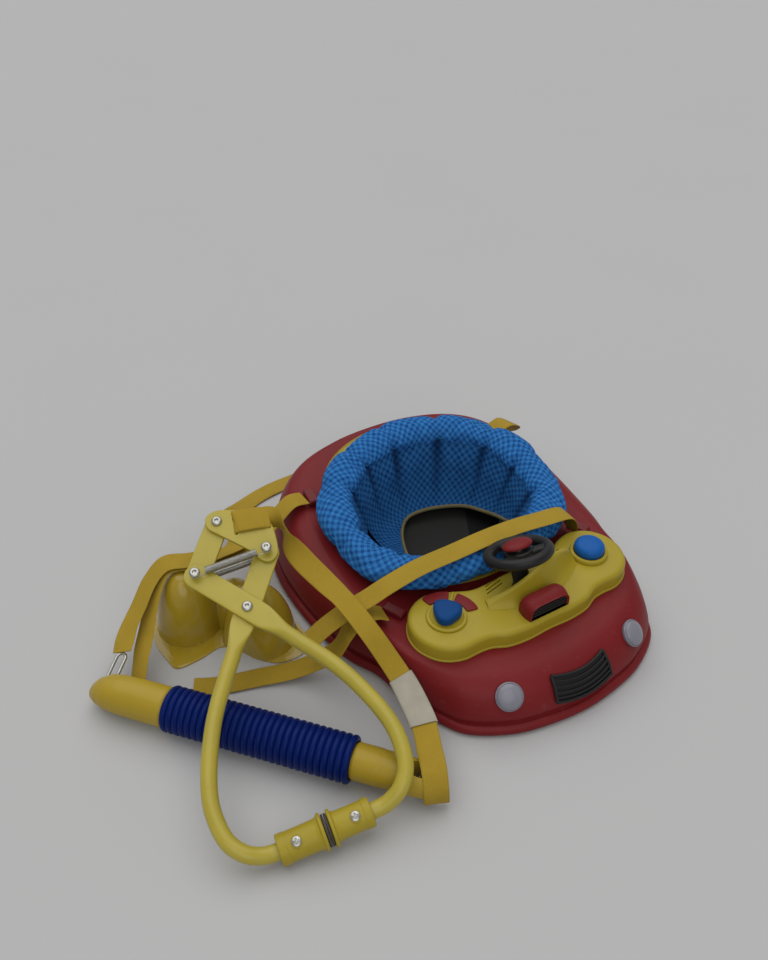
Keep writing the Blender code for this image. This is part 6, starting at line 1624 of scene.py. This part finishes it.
HEADING = math.atan2(-0.752, 0.659)
UNIT_SIDE = np.array((math.sin(-HEADING), math.cos(-HEADING), 0.0))
UNIT_AXIS = np.array((math.cos(HEADING), math.sin(HEADING), 0.0))
UNIT_PLACE = Place((-0.3138, 0.006, 0.024 + CLEAR), np.stack([UNIT_SIDE, UP, UNIT_AXIS], axis=1))


def cap_rows(shares, radius, long, start, sign, sides=72, seam=0.0004):
    """Rows of a cap: rings whose radius and drop follow a table of shares along its length.

    A narrow groove runs along each side where the two half shells meet.
    """
    table = np.array(shares)
    run = np.unique(np.concatenate([np.linspace(0, 1, 46), table[:, 0], table[1:-1, 0] + 0.004]))
    wide, drop = (np.interp(run, table[:, 0], table[:, k])[:, None] for k in (1, 2))
    angle = circle(sides)
    groove = np.exp(-((np.mod(angle + math.pi / 4, math.pi) - math.pi / 4) / 0.045) ** 2) * seam
    ring = radius * wide - groove
    return combine(ring * np.cos(angle), ring * np.sin(angle) - drop * radius,
                   (sign * (start + run * long))[:, None])


class JUMPER_OT_unit(Operator):
    """Make the spring unit: ribbed sleeve, two end caps, pins and the steel link."""
    bl_idname = "jumper.unit"
    bl_label = "Spring unit"

    def execute(self, context):
        """Turn the sleeve's ribs, loft the caps and cut the pocket and the cut-out into them.

        The sleeve's radius rises from valley to crest by the root of a rectified sine along its length.
        """
        sizes = context.scene.jumper_unit
        t = np.linspace(0, sizes.ribs, sizes.ribs * 10 + 1)
        ridge = np.abs(np.sin(math.pi * t)) ** 0.6
        outside = combine(sizes.valley + (sizes.sleeve - sizes.valley) * ridge,
                          -sizes.half + 2 * sizes.half * t / sizes.ribs)
        profile = np.vstack([outside, [(sizes.bore, sizes.half), (sizes.bore, -sizes.half)]])
        ends = [UNIT_PLACE((0, 0, z)) for z in (-sizes.half + 0.004, sizes.half - 0.004)]
        add_piece("sleeve", Shape().lathe(profile, 80, UNIT_PLACE, hollow=True), "blue_plastic",
                  body=("tray", "spring_end", *ends), nodes=("ribbed_sleeve",), crease=60.0)

        start = sizes.half + CLEAR
        rows = cap_rows(LOWER_CAP_SHARES, sizes.lower_radius, sizes.lower_length, start, -1)
        link = UNIT_PLACE.inner((0, 0, -start - PIVOT_REACH), rotation("Z", math.radians(20)))
        near, far, half = -0.0085, 0.042, 0.0050
        pocket = resample([(near, -half), (far, -half), (far, half), (near, half)], 60, closed=True)
        add_piece("cap_lower", Shape().grid(UNIT_PLACE(rows)), "gloss_yellow_plastic", nodes=("lower_cap",),
                  crease=35.0, look="unit_yellow_plastic",
                  cuts=(Shape().slab(pocket, straight_levels(-0.0072, 0.0072), link),))
        pivot = link.inner(turn=rotation("X", math.radians(-90)))
        add_piece("link_pivot", Shape().lathe(pin(PIN_RADIUS, 0.0047), 32, pivot), "zinc_steel", nodes=("link_pin",))
        wire, half, reach = 0.0018, 0.0050, 0.046
        near = -(PIN_RADIUS + wire + CLEAR * 1.5)
        track = resample(np.vstack([arc(half, 90, 270, 22, (near + half, 0)),
                                    arc(half, -90, 90, 22, (near + reach - half, 0))]), 120, closed=True)
        track = lifted(track, 0.0)[:, (0, 2, 1)]
        add_piece("steel_link", Shape().tube(track, wire, 16, (0, 1.0, 0), link, closed=True), "zinc_steel",
                  nodes=("cap_link",))

        slide = UNIT_PLACE.inner((0, 0, start))
        rows = cap_rows(UPPER_CAP_SHARES, sizes.upper_radius, sizes.upper_length, 0.0, 1)
        t = circle(48)
        hole = combine(0.0085 * np.cos(t), 0.0130 * np.sin(t))
        through = slide.inner((0, 0, CUTOUT_REACH), np.array(((1, 0, 0), (0, 0, 1), (0, 1, 0))))
        add_piece("cap_upper", Shape().grid(slide(rows)), "gloss_yellow_plastic", body="spring_end",
                  nodes=("upper_cap",), crease=35.0, look="unit_yellow_plastic",
                  cuts=(Shape().slab(hole, straight_levels(-0.03, 0.03), through),))
        cross = slide.inner((0, 0, CUTOUT_REACH), rotation("Y", math.radians(90)))
        add_piece("cap_cross_pin", Shape().lathe(pin(PIN_RADIUS, 0.0079), 32, cross), "zinc_steel", body="spring_end",
                  nodes=("cap_pin",))
        return {"FINISHED"}


class JUMPER_OT_spreader(Operator):
    """Make the glossy spreader moulding with its blown domes."""
    bl_idname = "jumper.spreader"
    bl_label = "Spreader"

    def execute(self, context):
        """Raise a height over rings of the outline.

        The height is a soft maximum of a low flange and three half-ellipsoid domes, and it falls off in a round
        edge over the outer tenth of the way to the outline.
        """
        width, tall, flange, soft = 0.150, 0.0881, 0.006, 0.0028
        outline = resample(smooth_path(np.array(SPREADER_OUTLINE_SHARES) * width, 20, closed=True), 300, closed=True)
        share = 1 - np.linspace(0, 0.985, 60)[:, None] ** 1.3
        plane = share[..., None] * outline
        total = np.full(plane.shape[:2], math.exp(flange / soft))
        for x, y, reach, high in SPREADER_DOME_SHARES:
            away = np.hypot(plane[..., 0] - x * width, plane[..., 1] - y * width) / (reach * width * 1.03)
            total += np.exp(np.sqrt(np.clip(1 - away ** 2, 0, 1)) * high * tall / soft)
        z = np.log(total) * soft - soft * math.log(4) - 0.0012
        edge = np.clip((1 - share) / 0.10, 0, 1)
        top = lifted(plane, np.maximum(z * np.sqrt(1 - (1 - edge) ** 2), 0.0014))
        foot = lifted(outline * 0.995, CLEAR)
        rows = Place(SPREADER_POSITION)([*top[::-1], foot])
        add_piece("spreader_moulding", Shape().grid(rows), "gloss_yellow_plastic", nodes=("spreader",), crease=60.0)
        return {"FINISHED"}


def band_rows(path, width, half_width, half_thickness, closed=False, sides=28):
    """Rows of flat webbing and their surface coordinates.

    The section is a superellipse, |x/w|^8 + |z/t|^2 = 1, so the band is flat with round selvedges. The first
    surface coordinate is the place across, from minus to plus half the width, and the second runs along.
    """
    along = directions(path, closed)
    normal = np.cross(along, width)
    theta = np.arange(sides + 1) * FULL_TURN / sides
    across = half_width * rounded(np.cos(theta), 0.25)
    lift = half_thickness * np.sin(theta)
    points = (path[:, None, :] + across[None, :-1, None] * width[:, None, :]
              + lift[None, :-1, None] * normal[:, None, :])
    run = np.concatenate([run_length(path), [0.0]])
    run[-1] = run[-2] + np.linalg.norm(path[0] - path[-1])
    uv = np.stack(np.meshgrid(across, run), axis=-1)
    return points, uv


def band_frames(path, across):
    """Unit width directions of webbing along a path, from keys of (share of the way, direction)."""
    along = directions(path)
    share = np.linspace(0, 1, len(path))
    keys = np.array([a[0] for a in across])
    want = np.stack([np.interp(share, keys, [a[1][k] for a in across]) for k in range(3)], axis=1)
    return unit(want - along * np.sum(want * along, axis=1, keepdims=True))


def add_band(name, path, width, body, nodes):
    """Make one run of webbing."""
    web = bpy.context.scene.jumper_webbing
    rows, uv = band_rows(path, width, web.width / 2, web.thickness / 2)
    return add_piece(name, Shape().grid(rows, uv=uv), "yellow_webbing", body=body, nodes=nodes, crease=70.0)


def declare_strap(path):
    """Shift the strap's first point and its middle line into the frame, and keep neither."""
    tuple(path[0] + SHIFT)
    (path + SHIFT).tolist()


class JUMPER_OT_straps(Operator):
    """Lay the webbing: the hanging strap with its label, the front straps and the rear straps."""
    bl_idname = "jumper.straps"
    bl_label = "Webbing"

    def execute(self, context):
        """Sweep each run of webbing along its route.

        The hanging strap is cut where the moving pieces that it joins part from each other.
        """
        steps = 12
        path = smooth_path(np.vstack([CLAMP_PLACE(HANGING_START), HANGING_ROUTE]), steps)
        width = band_frames(path, HANGING_ACROSS)
        first, second = len(HANGING_START) * steps, int(13.5 * steps)
        for part, stretch, bodies, knots, nodes in (
                ("head", slice(0, first + 1), ("link", "hanger"), (first, 3 * steps), ("strap_hanging_upper",)),
                ("foot", slice(second, None), ("tray", "spring_end"), (second, 16 * steps), ("strap_hanging_lower",)),
                ("span", slice(first, second + 1), ("tray", "link"), (10 * steps, first),
                 ("strap_hanging_upper", "strap_hanging_lower"))):
            body = (*bodies, *(path[k] for k in knots))
            if part == "span":
                label = self.add_label(path, width, second)
            add_band("strap_hanging_" + part, path[stretch], width[stretch], body, nodes)
        declare_strap(path[first:second + 1])
        for name, route, across in (
                ("front_right", FRONT_RIGHT_ROUTE, FLAT_ACROSS), ("front_left", FRONT_LEFT_ROUTE, FRONT_LEFT_ACROSS),
                ("rear_left", REAR_LEFT_ROUTE, FLAT_ACROSS), ("rear_right", REAR_RIGHT_ROUTE, REAR_RIGHT_ACROSS)):
            path = smooth_path(route, steps)
            band = add_band("webbing_" + name, path, band_frames(path, across), "tray", ("strap_" + name,))
            declare_strap(path)
        return {"FINISHED"}

    def add_label(self, path, width, second):
        """Wrap the label round the strap as a flattened sleeve."""
        web = bpy.context.scene.jumper_webbing
        pick = slice(second - 20, second + 7)
        over = 0.0017
        outer, uv = band_rows(path[pick], width[pick], web.width / 2 + over, web.thickness / 2 + over)
        inner, _ = band_rows(path[pick], width[pick], web.width / 2 + 0.0006, web.thickness / 2 + 0.0008)
        rows = np.concatenate([outer, inner[::-1]])
        uv = np.concatenate([uv[:-1], uv[:-1][::-1], uv[:1]])
        return add_piece("label", Shape().grid(rows, ring=True, uv=uv), "white_fabric", nodes=("label_sleeve",),
                         crease=70.0)


class JUMPER_OT_hidden(Operator):
    """Give the springs inside the sleeve, the button and the wheel their finish."""
    bl_idname = "jumper.hidden"
    bl_label = "Inner springs"

    def execute(self, context):
        """Set the finish of the kept nodes."""
        for name in ("main_spring", "button_spring", "horn_spring"):
            dress(name, "zinc_steel")
        return {"FINISHED"}


class JUMPER_OT_stage(Operator):
    """Make the floor, the lamps, the sky and the camera."""
    bl_idname = "jumper.stage"
    bl_label = "Stage"

    def execute(self, context):
        """Place a wide floor, a soft lamp overhead, a weak one in front, the even light and the camera."""
        stage = context.scene.jumper_stage
        scene = context.scene
        graph = Graph("Floor")
        tone = graph.noise(graph.object_place(), 3.0, 1.0)
        graph.finish(Base_Color=graph.mix(tone, scaled(stage.floor, 0.99), scaled(stage.floor, 1.01)), Roughness=0.95,
                     Specular_IOR_Level=0.1)
        mesh = bpy.data.meshes.new("floor")
        corners = [(x * FLOOR_HALF, y * FLOOR_HALF, 0) for x, y in ((-1, -1), (1, -1), (1, 1), (-1, 1))]
        mesh.from_pydata(corners, [], [(0, 1, 2, 3)])
        mesh.materials.append(graph.material)
        self.place("floor", mesh)

        for name, spread, tilt, heading in LAMPS:
            lamp = bpy.data.lights.new(name, "SUN")
            lamp.energy = getattr(stage, name)
            lamp.angle = math.radians(spread)
            self.place(name, lamp, turn=(tilt, 0.0, heading))

        world = bpy.data.worlds.new("sky")
        world.use_nodes = True
        back = world.node_tree.nodes["Background"]
        back.inputs["Color"].default_value = (1.0, 1.0, 1.0, 1.0)
        back.inputs["Strength"].default_value = stage.sky
        scene.world = world

        lens = bpy.data.cameras.new("view")
        lens.sensor_width, lens.lens = SENSOR_WIDTH, FOCAL_LENGTH
        scene.camera = self.place("view", lens, CAMERA_POSITION + SHIFT, CAMERA_TURN)
        scene.view_settings.view_transform = "Standard"
        return {"FINISHED"}

    def place(self, name, data, position=(0.0, 0.0, 0.0), turn=(0.0, 0.0, 0.0)):
        """Put a floor, lamp or camera into the scene at a position, turned by angles in degrees."""
        made = bpy.data.objects.new(name, data)
        bpy.context.scene.collection.objects.link(made)
        made.location = position
        made.rotation_euler = [math.radians(angle) for angle in turn]
        return made


OPERATORS = (JUMPER_OT_stage, JUMPER_OT_straps, JUMPER_OT_body, JUMPER_OT_hoop, JUMPER_OT_collar, JUMPER_OT_sling,
             JUMPER_OT_dash, JUMPER_OT_wheel, JUMPER_OT_controls, JUMPER_OT_front, JUMPER_OT_arms, JUMPER_OT_plates,
             JUMPER_OT_springs, JUMPER_OT_feet, JUMPER_OT_unit, JUMPER_OT_spreader, JUMPER_OT_hidden)


class JUMPER_PT_panel(Panel):
    """List the sizes, the colours and the operators."""
    bl_idname = "JUMPER_PT_panel"
    bl_label = "Baby doorway jumper"
    bl_space_type = "VIEW_3D"
    bl_region_type = "UI"
    bl_category = "Jumper"

    def draw(self, context):
        """Draw every group's fields and a button for each operator."""
        for key, (_, title) in GROUPS.items():
            box = self.layout.box()
            box.label(text=title)
            group = getattr(context.scene, key)
            for field in group.bl_rna.properties.keys():
                if field not in ("rna_type", "name"):
                    box.prop(group, field)
        for operator in OPERATORS:
            self.layout.operator(operator.bl_idname)


GROUPS = {
    "jumper_tray": (TraySizes, "Tray"),
    "jumper_seat": (SeatSizes, "Seat"),
    "jumper_dash": (DashSizes, "Dash"),
    "jumper_clamp": (ClampSizes, "Clamp"),
    "jumper_unit": (UnitSizes, "Spring unit"),
    "jumper_webbing": (WebbingSizes, "Webbing"),
    "jumper_finishes": (Finishes, "Finishes"),
    "jumper_stage": (StageSettings, "Stage"),
}


def register():
    """Register the classes and hang the settings on the scene."""
    for key, (group, _) in GROUPS.items():
        bpy.utils.register_class(group)
        setattr(bpy.types.Scene, key, PointerProperty(type=group))
    for operator in OPERATORS:
        bpy.utils.register_class(operator)
    bpy.utils.register_class(JUMPER_PT_panel)


def unregister():
    """Take the classes and the settings away again."""
    bpy.utils.unregister_class(JUMPER_PT_panel)
    for operator in reversed(OPERATORS):
        bpy.utils.unregister_class(operator)
    for key, (group, _) in GROUPS.items():
        delattr(bpy.types.Scene, key)
        bpy.utils.unregister_class(group)


def main():
    """Make every piece in order."""
    register()
    for operator in OPERATORS:
        group, name = operator.bl_idname.split(".")
        getattr(getattr(bpy.ops, group), name)()
    bpy.context.view_layer.update()


if __name__ == "__main__":
    main()
